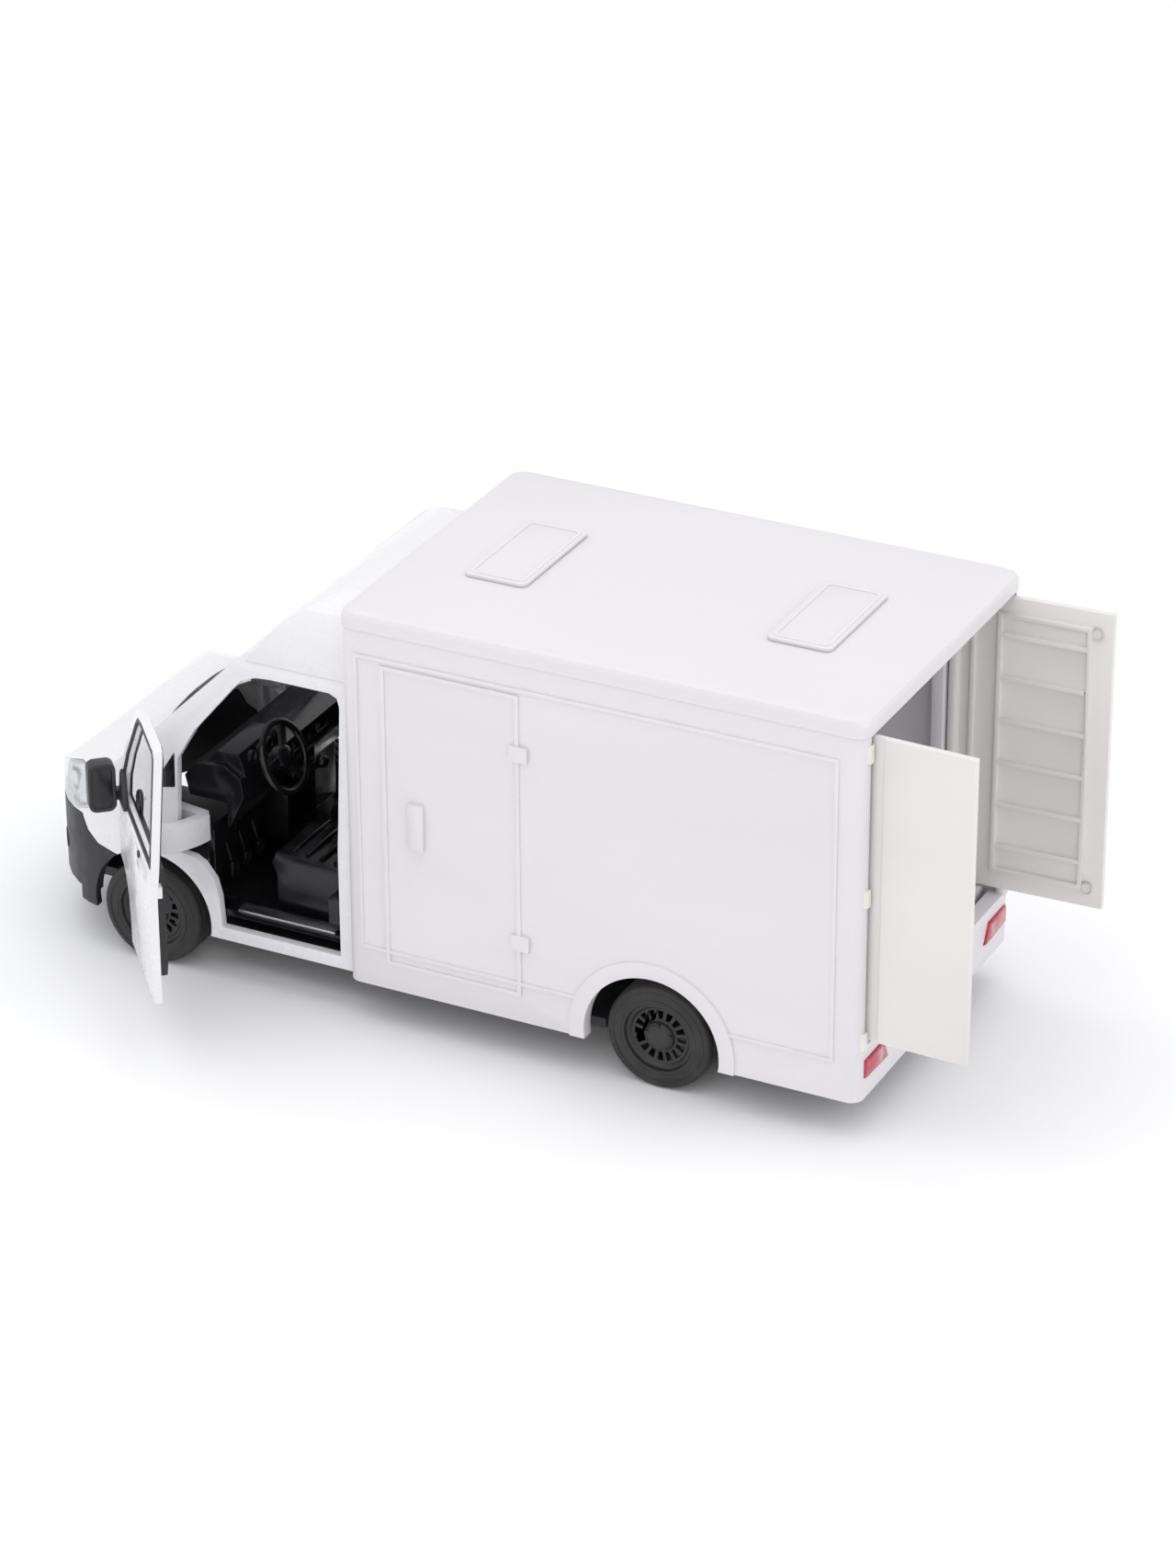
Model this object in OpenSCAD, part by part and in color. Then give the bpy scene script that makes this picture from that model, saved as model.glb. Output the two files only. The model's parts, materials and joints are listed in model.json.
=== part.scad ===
// Parcel delivery van, a die-cast and plastic toy with working doors and a pull-back motor.
// Frame: X points to the nose, Y to the driver's side (left), Z up. The origin is on the flat
// underside of the base plate, midway between the two axles.

/* [Running gear] */
// Height of the base plate's underside above the floor
ground_clear = 5.2; // [4.8:0.1:5.8]
// Outer diameter of a tyre
tyre_d = 15.2; // [14.6:0.1:15.8]
// Width of a tyre
tyre_w = 5.2; // [4:0.1:6]
// Diameter of a wheel rim
rim_d = 9.9; // [8:0.1:11]
// Diameter of an axle
axle_d = 1.6; // [1.2:0.1:2]
// Distance between the outer faces of the tyres on one axle
track_w = 47.2; // [45:0.1:48.5]
// Distance from the rear axle back to the rear face of the box
rear_overhang = 29.7; // [27:0.1:33]

/* [Box body] */
// Length of the box
box_l = 75.4; // [68:0.1:92]
// Width of the box
box_w = 50.6; // [50.2:0.1:61]
// Height of the box from its lower edge to the seam under the roof
box_h = 52.9; // [50:0.1:64]
// Wall thickness of the box
box_wall = 1.7; // [1.4:0.1:2.2]
// Thickness of the roof panel
roof_t = 2.6; // [2:0.1:3.2]
// Height of the cargo floor above the base plate's underside
floor_z = 9.3; // [9.1:0.1:11]
// Length of a roof hatch along the van
hatch_l = 9.2; // [6:0.1:12]
// Width of a roof hatch across the van
hatch_w = 19; // [12:0.5:26]
// Width of the moulded side door
side_door_w = 20.4; // [14:0.1:24]

/* [Rear doors] */
// Distance from the rear face of the box in to the rear hinge pins
hinge_inset = 7.8; // [6:0.1:10]
// Thickness of a rear door
rear_door_t = 1.4; // [1.2:0.1:1.8]
// Angle at which the rear doors stand open
rear_door_open = 92; // [0:1:92]
// Number of crossbars on the inside of a rear door
rear_door_bars = 6; // [3:1:8]

/* [Cab] */
// Width of the cab
cab_w = 46.6; // [44:0.1:50]
// Height of the cab roof above the base plate's underside
cab_roof_z = 45.4; // [42:0.1:50]
// Distance from the back of the cab to the front axle
axle_from_cab = 31.5; // [31:0.1:38]
// Distance from the front axle to the tip of the nose
nose_overhang = 21.5; // [19:0.1:25]
// Wall thickness of the cab casting
cab_wall = 1.2; // [1:0.1:1.5]
// Angle at which the driver's door stands open
left_door_open = 49; // [0:1:55]
// Diameter of the steering wheel
steering_d = 10.8; // [8:0.1:12]
// Height of a door mirror
mirror_h = 7.2; // [5:0.1:9]

/* [Fits] */
// Radial clearance of a turning shaft in its bore
run_gap = 0.04; // [0.02:0.01:0.08]
// Gap between neighbouring body pieces
seam_gap = 0.12; // [0.08:0.01:0.2]
// Gap around a door in its opening
door_gap = 0.5; // [0.45:0.05:0.6]

/* [Hidden] */
$fn = 48;
LEFT = 1;
RIGHT = -1;

// Colours of the paint and the plastics
white_plastic = [0.90, 0.88, 0.90];
white_paint = [0.95, 0.94, 0.95];
warm_white = [0.87, 0.86, 0.85];
black_plastic = [0.09, 0.09, 0.10];
rubber_black = [0.13, 0.12, 0.12];
bare_metal = [0.62, 0.63, 0.65];
lamp_red = [0.78, 0.16, 0.22];
clear_tint = [0.75, 0.80, 0.84, 0.6];
gear_ivory = [0.85, 0.80, 0.66];

// Places along the van, all worked out from the driving sizes
cab_gap = 0.4;
wheelbase = box_l - rear_overhang + cab_gap + axle_from_cab;
rear_axle_x = -wheelbase / 2;
front_axle_x = wheelbase / 2;
axle_z = tyre_d / 2 - ground_clear;
axle_r = axle_d / 2;
box_rear_x = rear_axle_x - rear_overhang;
box_front_x = box_rear_x + box_l;
box_low_z = 0.9;
seam_z = box_low_z + box_h;
box_half = box_w / 2;
box_inner = box_half - box_wall;
floor_t = 1.7;
cab_rear_x = box_front_x + cab_gap;
cab_half = cab_w / 2;
nose_x = front_axle_x + nose_overhang;
tyre_out_y = track_w / 2;
tyre_in_y = tyre_out_y - tyre_w;

// Base plate
plate_t = 1.4;
plate_half = 20.4;
saddle_y = 12;
saddle_w = 3;

// Rear doors and their hinges
rear_hinge_x = box_rear_x + hinge_inset;
rear_hinge_y = box_inner - 0.6 - rear_door_t / 2;
hinge_pin_r = 0.45;
knuckle_r = 0.95;
rear_door_low = floor_z + 0.3;
rear_door_top = seam_z - 0.3;
hinge_lug_t = 1.2;

// Front door outline, seen from the side
door_rear_x = cab_rear_x + 2.3;
door_low_z = 3.3;
door_top_z = cab_roof_z - 4.4;
door_front_x = front_axle_x - 5.2;
belt_z = 23.4;
arch_r = 9.4;
skin_t = 1;
screen_foot_x = front_axle_x + 2.5;
screen_foot_z = 27;
roof_front_x = screen_foot_x - (cab_roof_z - screen_foot_z);

// Gooseneck hinge of a cab door: its pin stands inside the fender, ahead of the door
neck_pin_x = front_axle_x + 3.6;
neck_pin_y = cab_half - 4.8;
neck_low_z = 14.2;
neck_top_z = 18.1;
neck_r = 11;
neck_t = 1.6;
neck_angle = 220;
neck_eye_r = 1.3;
neck_lug_t = 1;
neck_lug_r = 0.95;

// Motor gears: a pinion on the rear axle and the spring gear that it winds
gear_module = 0.36;
pinion_teeth = 8;
spring_teeth = 14;
gear_centres = gear_module * (pinion_teeth + spring_teeth) / 2 + 0.06;
spring_gear_z = axle_z + 1.35;
spring_gear_x = rear_axle_x + sqrt(pow(gear_centres, 2) - pow(spring_gear_z - axle_z, 2));
gear_w = 3;
case_half = 4.6;
case_wall = 0.9;
case_split_z = 3.1;

// ---------- helpers ----------

// Runs its children on one side: LEFT as drawn, RIGHT mirrored across the centre plane
module on_side(side) { mirror([0, side < 0 ? 1 : 0, 0]) children(); }

// A cuboid given by its two corners
module block(low, high) { translate(low) cube(high - low); }

// A rectangle with round corners, from circles and squares
module round_rect(x0, x1, y0, y1, r) {
  translate([x0 + r, y0]) square([x1 - x0 - 2 * r, y1 - y0]);
  translate([x0, y0 + r]) square([x1 - x0, y1 - y0 - 2 * r]);
  for (x = [x0 + r, x1 - r], y = [y0 + r, y1 - r]) translate([x, y]) circle(r);
}

// A side-view outline (X, Z) pushed across the van from y0 to y1
module across(y0, y1) { translate([0, y1, 0]) rotate([90, 0, 0]) linear_extrude(y1 - y0) children(); }

// A front-view outline (Y, Z) pushed along the van from x0 to x1
module along(x0, x1) {
  translate([x0, 0, 0]) rotate([90, 0, 90]) linear_extrude(x1 - x0) children();
}

// A cylinder across the van, centred on x, z
module cross_shaft(r, x, z, y0, y1) {
  translate([x, y1, z]) rotate([90, 0, 0]) cylinder(r = r, h = y1 - y0);
}

// An upright cylinder
module upright(r, x, y, z0, z1) { translate([x, y, z0]) cylinder(r = r, h = z1 - z0); }

// Turns its children about an upright axis at x, y
module swing(x, y, angle) { translate([x, y, 0]) rotate([0, 0, angle]) translate([-x, -y, 0]) children(); }

// A quarter of a superellipse from (a, 0) to (0, b)
function quarter_arc(a, b, power, steps = 10) = [
  for (i = [0:steps]) [a * pow(cos(90 * i / steps), 2 / power), b * pow(sin(90 * i / steps), 2 / power)]
];

// ---------- cab outlines ----------

// Hood and lower body seen from the side
module hood_outline() {
  top_z = screen_foot_z - 0.5;
  chin_z = 10.5;
  hood_x = screen_foot_x + 1.3;
  arc = quarter_arc(nose_x - hood_x, top_z - chin_z, 1.7);
  polygon(concat(
    [[cab_rear_x, box_low_z], [nose_x - 1.2, box_low_z]],
    [for (p = arc) [hood_x + p[0], chin_z + p[1]]],
    [[cab_rear_x, top_z]]
  ));
}

// Glasshouse seen from the side, with the raked windscreen
module glasshouse_outline() {
  polygon([
    [cab_rear_x, 12], [screen_foot_x + 3, 12], [screen_foot_x + 3, screen_foot_z - 3],
    [roof_front_x, cab_roof_z], [cab_rear_x, cab_roof_z]
  ]);
}

// The plan of the cab: straight sides and a round nose
module cab_plan() {
  start = front_axle_x + 5;
  arc = quarter_arc(nose_x - start, cab_half, 2.3);
  half = [for (p = arc) [start + p[0], p[1]]];
  polygon(concat(
    half, [[cab_rear_x, cab_half], [cab_rear_x, -cab_half]],
    [for (i = [len(half) - 1:-1:1]) [half[i][0], -half[i][1]]]
  ));
}

// Front view of the lower body, with round fender shoulders
module hood_front() {
  low = 13;
  arc = quarter_arc(cab_half, screen_foot_z - 0.5 - low, 2);
  polygon(concat(
    [[-cab_half, box_low_z], [cab_half, box_low_z]],
    [for (p = arc) [p[0], low + p[1]]],
    [for (i = [len(arc) - 2:-1:0]) [-arc[i][0], low + arc[i][1]]]
  ));
}

// Front view of the glasshouse, which leans in towards the roof
module glasshouse_front() {
  half = [
    [cab_half, 12], [cab_half, 19], [cab_half - 0.4, belt_z], [cab_half - 1.7, cab_roof_z - 3],
    [cab_half - 2.6, cab_roof_z - 1], [cab_half - 4.4, cab_roof_z - 0.2], [cab_half - 8, cab_roof_z]
  ];
  polygon(concat(half, [for (i = [len(half) - 1:-1:0]) [-half[i][0], half[i][1]]]));
}

// The cab's outer form, shrunk evenly by inset
module cab_form(inset) {
  top = cab_roof_z + 5;
  far = cab_half + 5;
  intersection() {
    across(-far, far) offset(delta = -inset) hood_outline();
    linear_extrude(top) offset(delta = -inset) cab_plan();
    along(cab_rear_x - 1, nose_x + 1) offset(delta = -inset) hood_front();
  }
  intersection() {
    across(-far, far) offset(delta = -inset) glasshouse_outline();
    along(cab_rear_x - 1, nose_x + 1) offset(delta = -inset) glasshouse_front();
  }
}

// Opening for a cab door, seen from the side, grown by gap
module door_outline(gap) {
  offset(delta = gap) polygon([
    [door_rear_x, door_low_z], [front_axle_x - 11.6, door_low_z], [front_axle_x - 11.3, 7.4],
    [front_axle_x - 10.6, 10], [front_axle_x - 8.8, 12.3], [front_axle_x - 7.2, 13.2], [door_front_x, 13.4],
    [door_front_x, belt_z + 3.4], [door_front_x - 2.6, belt_z + 8], [roof_front_x + 2.2, door_top_z - 2.4],
    [roof_front_x + 0.9, door_top_z - 1], [roof_front_x - 1, door_top_z - 0.2], [roof_front_x - 3.2, door_top_z],
    [door_rear_x + 1.2, door_top_z], [door_rear_x + 0.3, door_top_z - 0.4], [door_rear_x, door_top_z - 1.4]
  ]);
}

// Window of a cab door, seen from the side
module window_outline() {
  frame = 1.5;
  polygon([
    [door_rear_x + frame, belt_z], [door_front_x - 1.7, belt_z], [door_front_x - 1.7, belt_z + 3],
    [door_front_x - 4.2, belt_z + 7.4], [roof_front_x + 1, door_top_z - 3.4],
    [roof_front_x - 0.6, door_top_z - 1.9], [roof_front_x - 3.2, door_top_z - frame],
    [door_rear_x + frame + 0.6, door_top_z - frame], [door_rear_x + frame, door_top_z - frame - 0.8]
  ]);
}

// Part of the nose that the bumper takes
module bumper_zone(gap) {
  top_z = 14.6;
  across(-cab_half - 1, cab_half + 1) offset(delta = gap) polygon([
    [front_axle_x + 5, 0], [nose_x + 2, 0], [nose_x + 2, top_z], [front_axle_x + 11.4, top_z],
    [front_axle_x + 10.4, 12.4], [front_axle_x + 8.6, 11], [front_axle_x + 6.2, 10.3], [front_axle_x + 5, 10]
  ]);
}

// Part of the nose that the grille takes
module grille_zone(gap) {
  block([front_axle_x + 14, -11 - gap, 8.6 - gap], [nose_x + 2, 11 + gap, 17.4 + gap]);
}

// Part of the left front corner that a headlight takes
module headlight_zone(gap) {
  across(12.4 - gap, cab_half + 1) offset(delta = gap) polygon([
    [front_axle_x + 9.6, 16.2], [front_axle_x + 12.6, 14.9], [nose_x + 2, 14.9], [nose_x + 2, 20],
    [front_axle_x + 13, 21], [front_axle_x + 10.4, 20.2]
  ]);
}

// The windscreen's opening, cut square to the raked screen
module screen_zone(gap) {
  length = (cab_roof_z - screen_foot_z) * sqrt(2);
  translate([screen_foot_x, 0, screen_foot_z]) rotate([0, 45, 0]) translate([0, 0, -3])
    linear_extrude(6) offset(delta = gap) polygon([
      [-2.4, -cab_half + 3.2], [2.2 - length, -cab_half + 4.6], [2.2 - length, cab_half - 4.6],
      [-2.4, cab_half - 3.2]
    ]);
}

// The cowl between the hood and the windscreen
module cowl_zone(gap) {
  block([screen_foot_x + 0.3 - gap, -cab_half + 8 - gap, screen_foot_z - 4],
        [screen_foot_x + 2 + gap, cab_half - 8 + gap, screen_foot_z + 3]);
}

// ---------- fixed pieces ----------

// Black plate that closes the underside, with a saddle for each axle
module base_plate() {
  front_x = nose_x - 3.4;
  rear_x = box_rear_x + box_wall + 0.8;
  wheel_room = tyre_d / 2 + 1.6;
  color(black_plastic) difference() {
    union() {
      block([rear_x, -plate_half, 0], [front_axle_x, plate_half, plate_t]);
      block([front_axle_x, -13, 0], [front_x, 13, plate_t]);
      for (x = [rear_axle_x, front_axle_x], side = [LEFT, RIGHT])
        block([x - 2.2, side * saddle_y - saddle_w / 2, 0], [x + 2.2, side * saddle_y + saddle_w / 2, axle_z + 2]);
    }
    for (x = [rear_axle_x, front_axle_x]) {
      cross_shaft(axle_r + run_gap, x, axle_z, -plate_half, plate_half);
      for (side = [LEFT, RIGHT])
        on_side(side) block([x - wheel_room, tyre_in_y - 1, -1], [x + wheel_room, plate_half + 1, plate_t + 1]);
    }
    block([rear_axle_x - 4, -case_half - seam_gap, -1], [rear_axle_x + 9.4, case_half + seam_gap, plate_t + 1]);
    for (spot = screw_spots) {
      upright(screw_r + 0.15, spot[0], spot[1], -1, plate_t + 1);
      upright(screw_head_r + 0.15, spot[0], spot[1], -1, screw_head_t + 0.1);
    }
  }
}

// Screws that hold the plate to the box and to the cab tub
screw_r = 0.55;
screw_head_r = 1.3;
screw_head_t = 0.7;
screw_boss_r = 1.7;
box_screws = [[box_front_x - 14, 12], [box_front_x - 14, -12], [box_rear_x + 8, 0]];
cab_screws = [[cab_rear_x + 13, 0]];
screw_spots = concat(box_screws, cab_screws);
module base_screws() {
  color(bare_metal) for (spot = screw_spots) difference() {
    union() {
      upright(screw_head_r, spot[0], spot[1], 0.1, screw_head_t);
      upright(screw_r, spot[0], spot[1], screw_head_t, 3.8);
    }
    block([spot[0] - 0.9, spot[1] - 0.15, 0], [spot[0] + 0.9, spot[1] + 0.15, 0.4]);
    block([spot[0] - 0.15, spot[1] - 0.9, 0], [spot[0] + 0.15, spot[1] + 0.9, 0.4]);
  }
}

// The motor case, a box in two halves that meet at case_split_z
motor_low_z = 0.1;
motor_top_z = floor_z - floor_t;
module motor_case(z0, z1) {
  x0 = rear_axle_x - 3.6;
  x1 = rear_axle_x + 9;
  difference() {
    block([x0, -case_half, z0], [x1, case_half, z1]);
    block([x0 + case_wall, -case_half + case_wall, motor_low_z + 0.4],
          [x1 - case_wall, case_half - case_wall, motor_top_z - 0.4]);
    cross_shaft(axle_r + run_gap, rear_axle_x, axle_z, -case_half - 1, case_half + 1);
    cross_shaft(arbor_r + run_gap, spring_gear_x, spring_gear_z, -case_half - 1, case_half + 1);
  }
}
arbor_r = 0.6;
module motor_case_lower() { color(black_plastic) motor_case(motor_low_z, case_split_z); }
module motor_case_upper() { color(black_plastic) motor_case(case_split_z, motor_top_z); }

// White die-cast shell of the cab
module cab_shell() {
  far = cab_half + 3;
  color(white_paint) difference() {
    cab_form(0);
    cab_form(cab_wall);
    block([cab_rear_x - 1, -cab_half + cab_wall, -1], [nose_x - 3, cab_half - cab_wall, 3]);
    block([cab_rear_x - 1, -cab_half + 3, -1], [cab_rear_x + cab_wall + 0.1, cab_half - 3, door_top_z - 2]);
    across(-far, far) door_outline(door_gap);
    for (side = [LEFT, RIGHT]) on_side(side) {
      cross_shaft(arch_r, front_axle_x, axle_z, tyre_in_y - 3, far);
      headlight_zone(seam_gap / 2);
    }
    screen_zone(seam_gap / 2);
    cowl_zone(seam_gap / 2);
    bumper_zone(seam_gap);
    grille_zone(seam_gap / 2);
  }
}

// Air deflector that fills the step between the cab roof and the box
module fairing_form(inset) {
  top_z = seam_z + 1.1;
  half = cab_half - 2;
  intersection() {
    across(-half, half) offset(delta = -inset) polygon([
      [cab_rear_x, cab_roof_z - 2.2], [roof_front_x + 0.9, cab_roof_z - 2.2], [roof_front_x - 3.2, cab_roof_z + 3.1],
      [roof_front_x - 4.6, cab_roof_z + 4.5], [roof_front_x - 7.2, cab_roof_z + 6.2],
      [roof_front_x - 10.4, top_z - 1.6], [roof_front_x - 14.2, top_z - 0.3], [cab_rear_x, top_z]
    ]);
    along(cab_rear_x - 1, nose_x) offset(delta = -inset) polygon([
      [-half, cab_roof_z - 2], [half, cab_roof_z - 2], [half - 0.9, cab_roof_z + 3], [half - 2.8, top_z - 3.5],
      [half - 7, top_z - 1.2], [half - 13, top_z - 0.2], [-half + 13, top_z - 0.2], [-half + 7, top_z - 1.2],
      [-half + 2.8, top_z - 3.5], [-half + 0.9, cab_roof_z + 3]
    ]);
  }
}
module roof_fairing() {
  color(white_paint) difference() {
    fairing_form(0);
    fairing_form(1.3);
    cab_form(-seam_gap);
    block([cab_rear_x + 1.3, -cab_half + 4, cab_roof_z - 2], [roof_front_x - 4, cab_half - 4, cab_roof_z + 1.6]);
  }
}

// Tinted windscreen, let into the casting
module windscreen() {
  color(clear_tint) intersection() {
    difference() {
      cab_form(0.2);
      cab_form(1);
    }
    screen_zone(-seam_gap / 2);
  }
}

// Black cowl at the foot of the windscreen
module cowl_panel() {
  color(black_plastic) difference() {
    intersection() {
      difference() {
        cab_form(0.1);
        cab_form(1.1);
      }
      cowl_zone(-seam_gap / 2);
    }
    screen_zone(seam_gap / 2);
  }
}

// Black front bumper, which wraps round the nose
module front_bumper() {
  color(black_plastic) difference() {
    intersection() {
      cab_form(0);
      bumper_zone(0);
    }
    cab_form(1.8);
    block([front_axle_x, -cab_half + 1.8, 0], [nose_x - 3, cab_half - 1.8, 3]);
    for (side = [LEFT, RIGHT]) on_side(side) {
      cross_shaft(arch_r, front_axle_x, axle_z, tyre_in_y - 3, cab_half + 3);
      headlight_zone(seam_gap / 2);
    }
    grille_zone(seam_gap / 2);
  }
}

// Grille with level bars between the headlights
module front_grille() {
  bars = 5;
  color(black_plastic) difference() {
    intersection() {
      difference() {
        cab_form(0.15);
        cab_form(1.6);
      }
      grille_zone(-seam_gap / 2);
    }
    for (i = [0:bars - 1])
      translate([nose_x, 0, 9.8 + i * 1.5]) cube([2, 19, 0.7], center = true);
  }
}

// Clear lens over a headlight
module headlight_lens(side) {
  on_side(side) intersection() {
    difference() {
      cab_form(0.05);
      cab_form(0.75);
    }
    headlight_zone(-seam_gap / 2);
  }
}
module headlight_lens_left() { color(clear_tint) headlight_lens(LEFT); }
module headlight_lens_right() { color(clear_tint) headlight_lens(RIGHT); }

// Bright reflector behind the lens
module headlight_bowl(side) {
  on_side(side) intersection() {
    difference() {
      cab_form(0.9);
      cab_form(1.7);
    }
    headlight_zone(-0.4);
  }
}
module headlight_bowl_left() { color(bare_metal) headlight_bowl(LEFT); }
module headlight_bowl_right() { color(bare_metal) headlight_bowl(RIGHT); }

// Black tub: cab floor, back wall and firewall in one moulding
tub_half = 20.4;
tub_floor_z = 4;
module cab_tub() {
  narrow_half = tyre_in_y - 1.4;
  firewall_x = front_axle_x - 5.6;
  color(black_plastic) difference() {
    union() {
      block([cab_rear_x + 1.5, -tub_half, tub_floor_z - 1], [front_axle_x - 10, tub_half, tub_floor_z]);
      block([front_axle_x - 10, -narrow_half, tub_floor_z - 1], [firewall_x, narrow_half, tub_floor_z]);
      block([cab_rear_x + 1.5, -tub_half + 2.6, tub_floor_z], [cab_rear_x + 2.4, tub_half - 2.6, door_top_z - 3]);
      block([firewall_x - 1, -narrow_half, tub_floor_z], [firewall_x, narrow_half, neck_low_z - 0.4]);
      for (spot = cab_screws) upright(screw_boss_r, spot[0], spot[1], plate_t, tub_floor_z);
    }
    for (spot = cab_screws) upright(screw_r, spot[0], spot[1], 0, 3.8);
  }
}

// Dashboard across the firewall, with an instrument hood and air vents
dash_x = front_axle_x - 4;
dash_half = 17.2;
module dashboard() {
  color(black_plastic) difference() {
    union() {
      across(-dash_half, dash_half) polygon([
        [dash_x - 5.4, 15], [dash_x, 15], [dash_x + 1.6, 21.5], [dash_x, 23.6], [dash_x - 4.6, 24.2],
        [dash_x - 7.2, 22.6], [dash_x - 7.6, 20]
      ]);
      across(steering_y - 5, steering_y + 5) polygon([
        [dash_x - 7.4, 22.4], [dash_x - 1, 23.2], [dash_x - 3, 25.6], [dash_x - 6.4, 25.8]
      ]);
      block([dash_x - 6.8, -4, 7], [dash_x - 2.6, 4, 15.4]);
    }
    for (side = [LEFT, RIGHT])
      on_side(side) block([neck_pin_x - neck_r - neck_t, 9.4, 0], [dash_x + 3, dash_half + 1, neck_top_z + 0.5]);
    for (y = [-13.6, -5, 1.6]) translate([dash_x - 7.4, y, 21.2]) cube([1.2, 3, 1.2], center = true);
  }
}

// Steering column and wheel on the driver's side
steering_y = 11;
steering_x = front_axle_x - 14.6;
steering_z = 24.2;
steering_tilt = -68;
module at_steering() { translate([steering_x, steering_y, steering_z]) rotate([0, steering_tilt, 0]) children(); }
module steering_column() {
  color(black_plastic) difference() {
    at_steering() translate([0, 0, -8.6]) cylinder(r = 1, h = 7.6);
    across(-dash_half, dash_half) polygon([
      [dash_x - 7.4, 22.6], [dash_x - 7.6, 20], [dash_x - 5.4, 15], [dash_x + 5, 15], [dash_x + 5, 28],
      [dash_x - 6.4, 25.8]
    ]);
  }
}
module steering_wheel() {
  rim_r = steering_d / 2;
  color(black_plastic) at_steering() {
    rotate_extrude() translate([rim_r - 0.5, 0]) circle(r = 0.5, $fn = 16);
    for (a = [90, 210, 330]) rotate([0, 0, a]) translate([0, -0.5, -0.5]) cube([rim_r - 0.4, 1, 0.7]);
    translate([0, 0, -1]) cylinder(r = 1.6, h = 1.3);
  }
}

// Seats: a moulded base, cushion, backrest and headrest
module seat(width) {
  x0 = cab_rear_x + 3;
  block([x0, -width / 2, tub_floor_z], [x0 + 12, width / 2, 9.5]);
  across(-width / 2, width / 2) polygon([
    [x0, 9.5], [x0 + 12, 9.5], [x0 + 12.8, 11], [x0 + 12, 12.8], [x0 + 2.6, 12.2], [x0 + 1.6, 31], [x0, 31]
  ]);
  across(-2.6, 2.6) polygon([[x0 + 0.2, 31], [x0 + 1.4, 31], [x0 + 1.8, 36], [x0 + 0.2, 36]]);
}
module driver_seat() { color(black_plastic) translate([0, steering_y, 0]) seat(12.4); }
module passenger_seat() { color(black_plastic) translate([0, -8.2, 0]) seat(18); }

// Gear lever on the dash pod
module gear_lever() {
  color(black_plastic) translate([dash_x - 6.8, 0, 15.4]) rotate([0, -50, 0]) {
    translate([0, 0, 0.1]) cylinder(r = 0.45, h = 4);
    translate([0, 0, 4.6]) sphere(r = 0.95);
  }
}

// Bright tread plate on the sill inside each door
module sill_plate(side) {
  on_side(side) block([door_rear_x + 2, tub_half - 2.2, tub_floor_z], [front_axle_x - 12, tub_half, tub_floor_z + 0.4]);
}
module sill_plate_left() { color(bare_metal) sill_plate(LEFT); }
module sill_plate_right() { color(bare_metal) sill_plate(RIGHT); }

// Catch that the closed door clicks on, fixed to the tub's back wall
module door_catch(side) {
  x0 = cab_rear_x + 2.4;
  on_side(side) block([x0, tub_half - 2.9, 5.9], [x0 + 2.6, tub_half + 0.4, 9.8]);
}
module door_catch_left() { color(black_plastic) door_catch(LEFT); }
module door_catch_right() { color(black_plastic) door_catch(RIGHT); }

// Bracket inside the fender: two lugs on a web hold the pin above and below the door's neck
module hinge_bracket(side) {
  low_z = neck_low_z - 0.15 - neck_lug_t;
  top_z = neck_top_z + 0.15 + neck_lug_t;
  wall_y = cab_half - cab_wall;
  web_x = neck_pin_x + neck_eye_r + 0.3;
  web_y = neck_pin_y - 0.1;
  on_side(side) difference() {
    union() {
      for (z = [low_z, top_z - neck_lug_t]) {
        upright(neck_lug_r, neck_pin_x, neck_pin_y, z, z + neck_lug_t);
        block([neck_pin_x, neck_pin_y - neck_eye_r, z], [web_x + 1, web_y, z + neck_lug_t]);
      }
      block([web_x, neck_pin_y - neck_eye_r, low_z], [web_x + 1, web_y, top_z]);
      block([web_x, web_y - 0.5, low_z], [web_x + 1, wall_y - 0.2, low_z + neck_lug_t]);
    }
    upright(hinge_pin_r, neck_pin_x, neck_pin_y, low_z - 1, top_z + 1);
  }
}
module hinge_bracket_left() { color(white_paint) hinge_bracket(LEFT); }
module hinge_bracket_right() { color(white_paint) hinge_bracket(RIGHT); }

// Steel pin of a cab door hinge
module cab_hinge_pin(side) {
  reach = 0.15 + neck_lug_t;
  on_side(side) upright(hinge_pin_r, neck_pin_x, neck_pin_y, neck_low_z - reach, neck_top_z + reach);
}
module cab_hinge_pin_left() { color(bare_metal) cab_hinge_pin(LEFT); }
module cab_hinge_pin_right() { color(bare_metal) cab_hinge_pin(RIGHT); }

// Moulded lines on the outside of a box wall, standing proud by bead_t
bead_t = 0.25;
module side_frame(x0, x1, z0, z1, w) {
  difference() {
    block([x0, box_half - 0.2, z0], [x1, box_half + bead_t, z1]);
    block([x0 + w, box_half - 1, z0 + w], [x1 - w, box_half + 1, z1 - w]);
  }
}

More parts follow.
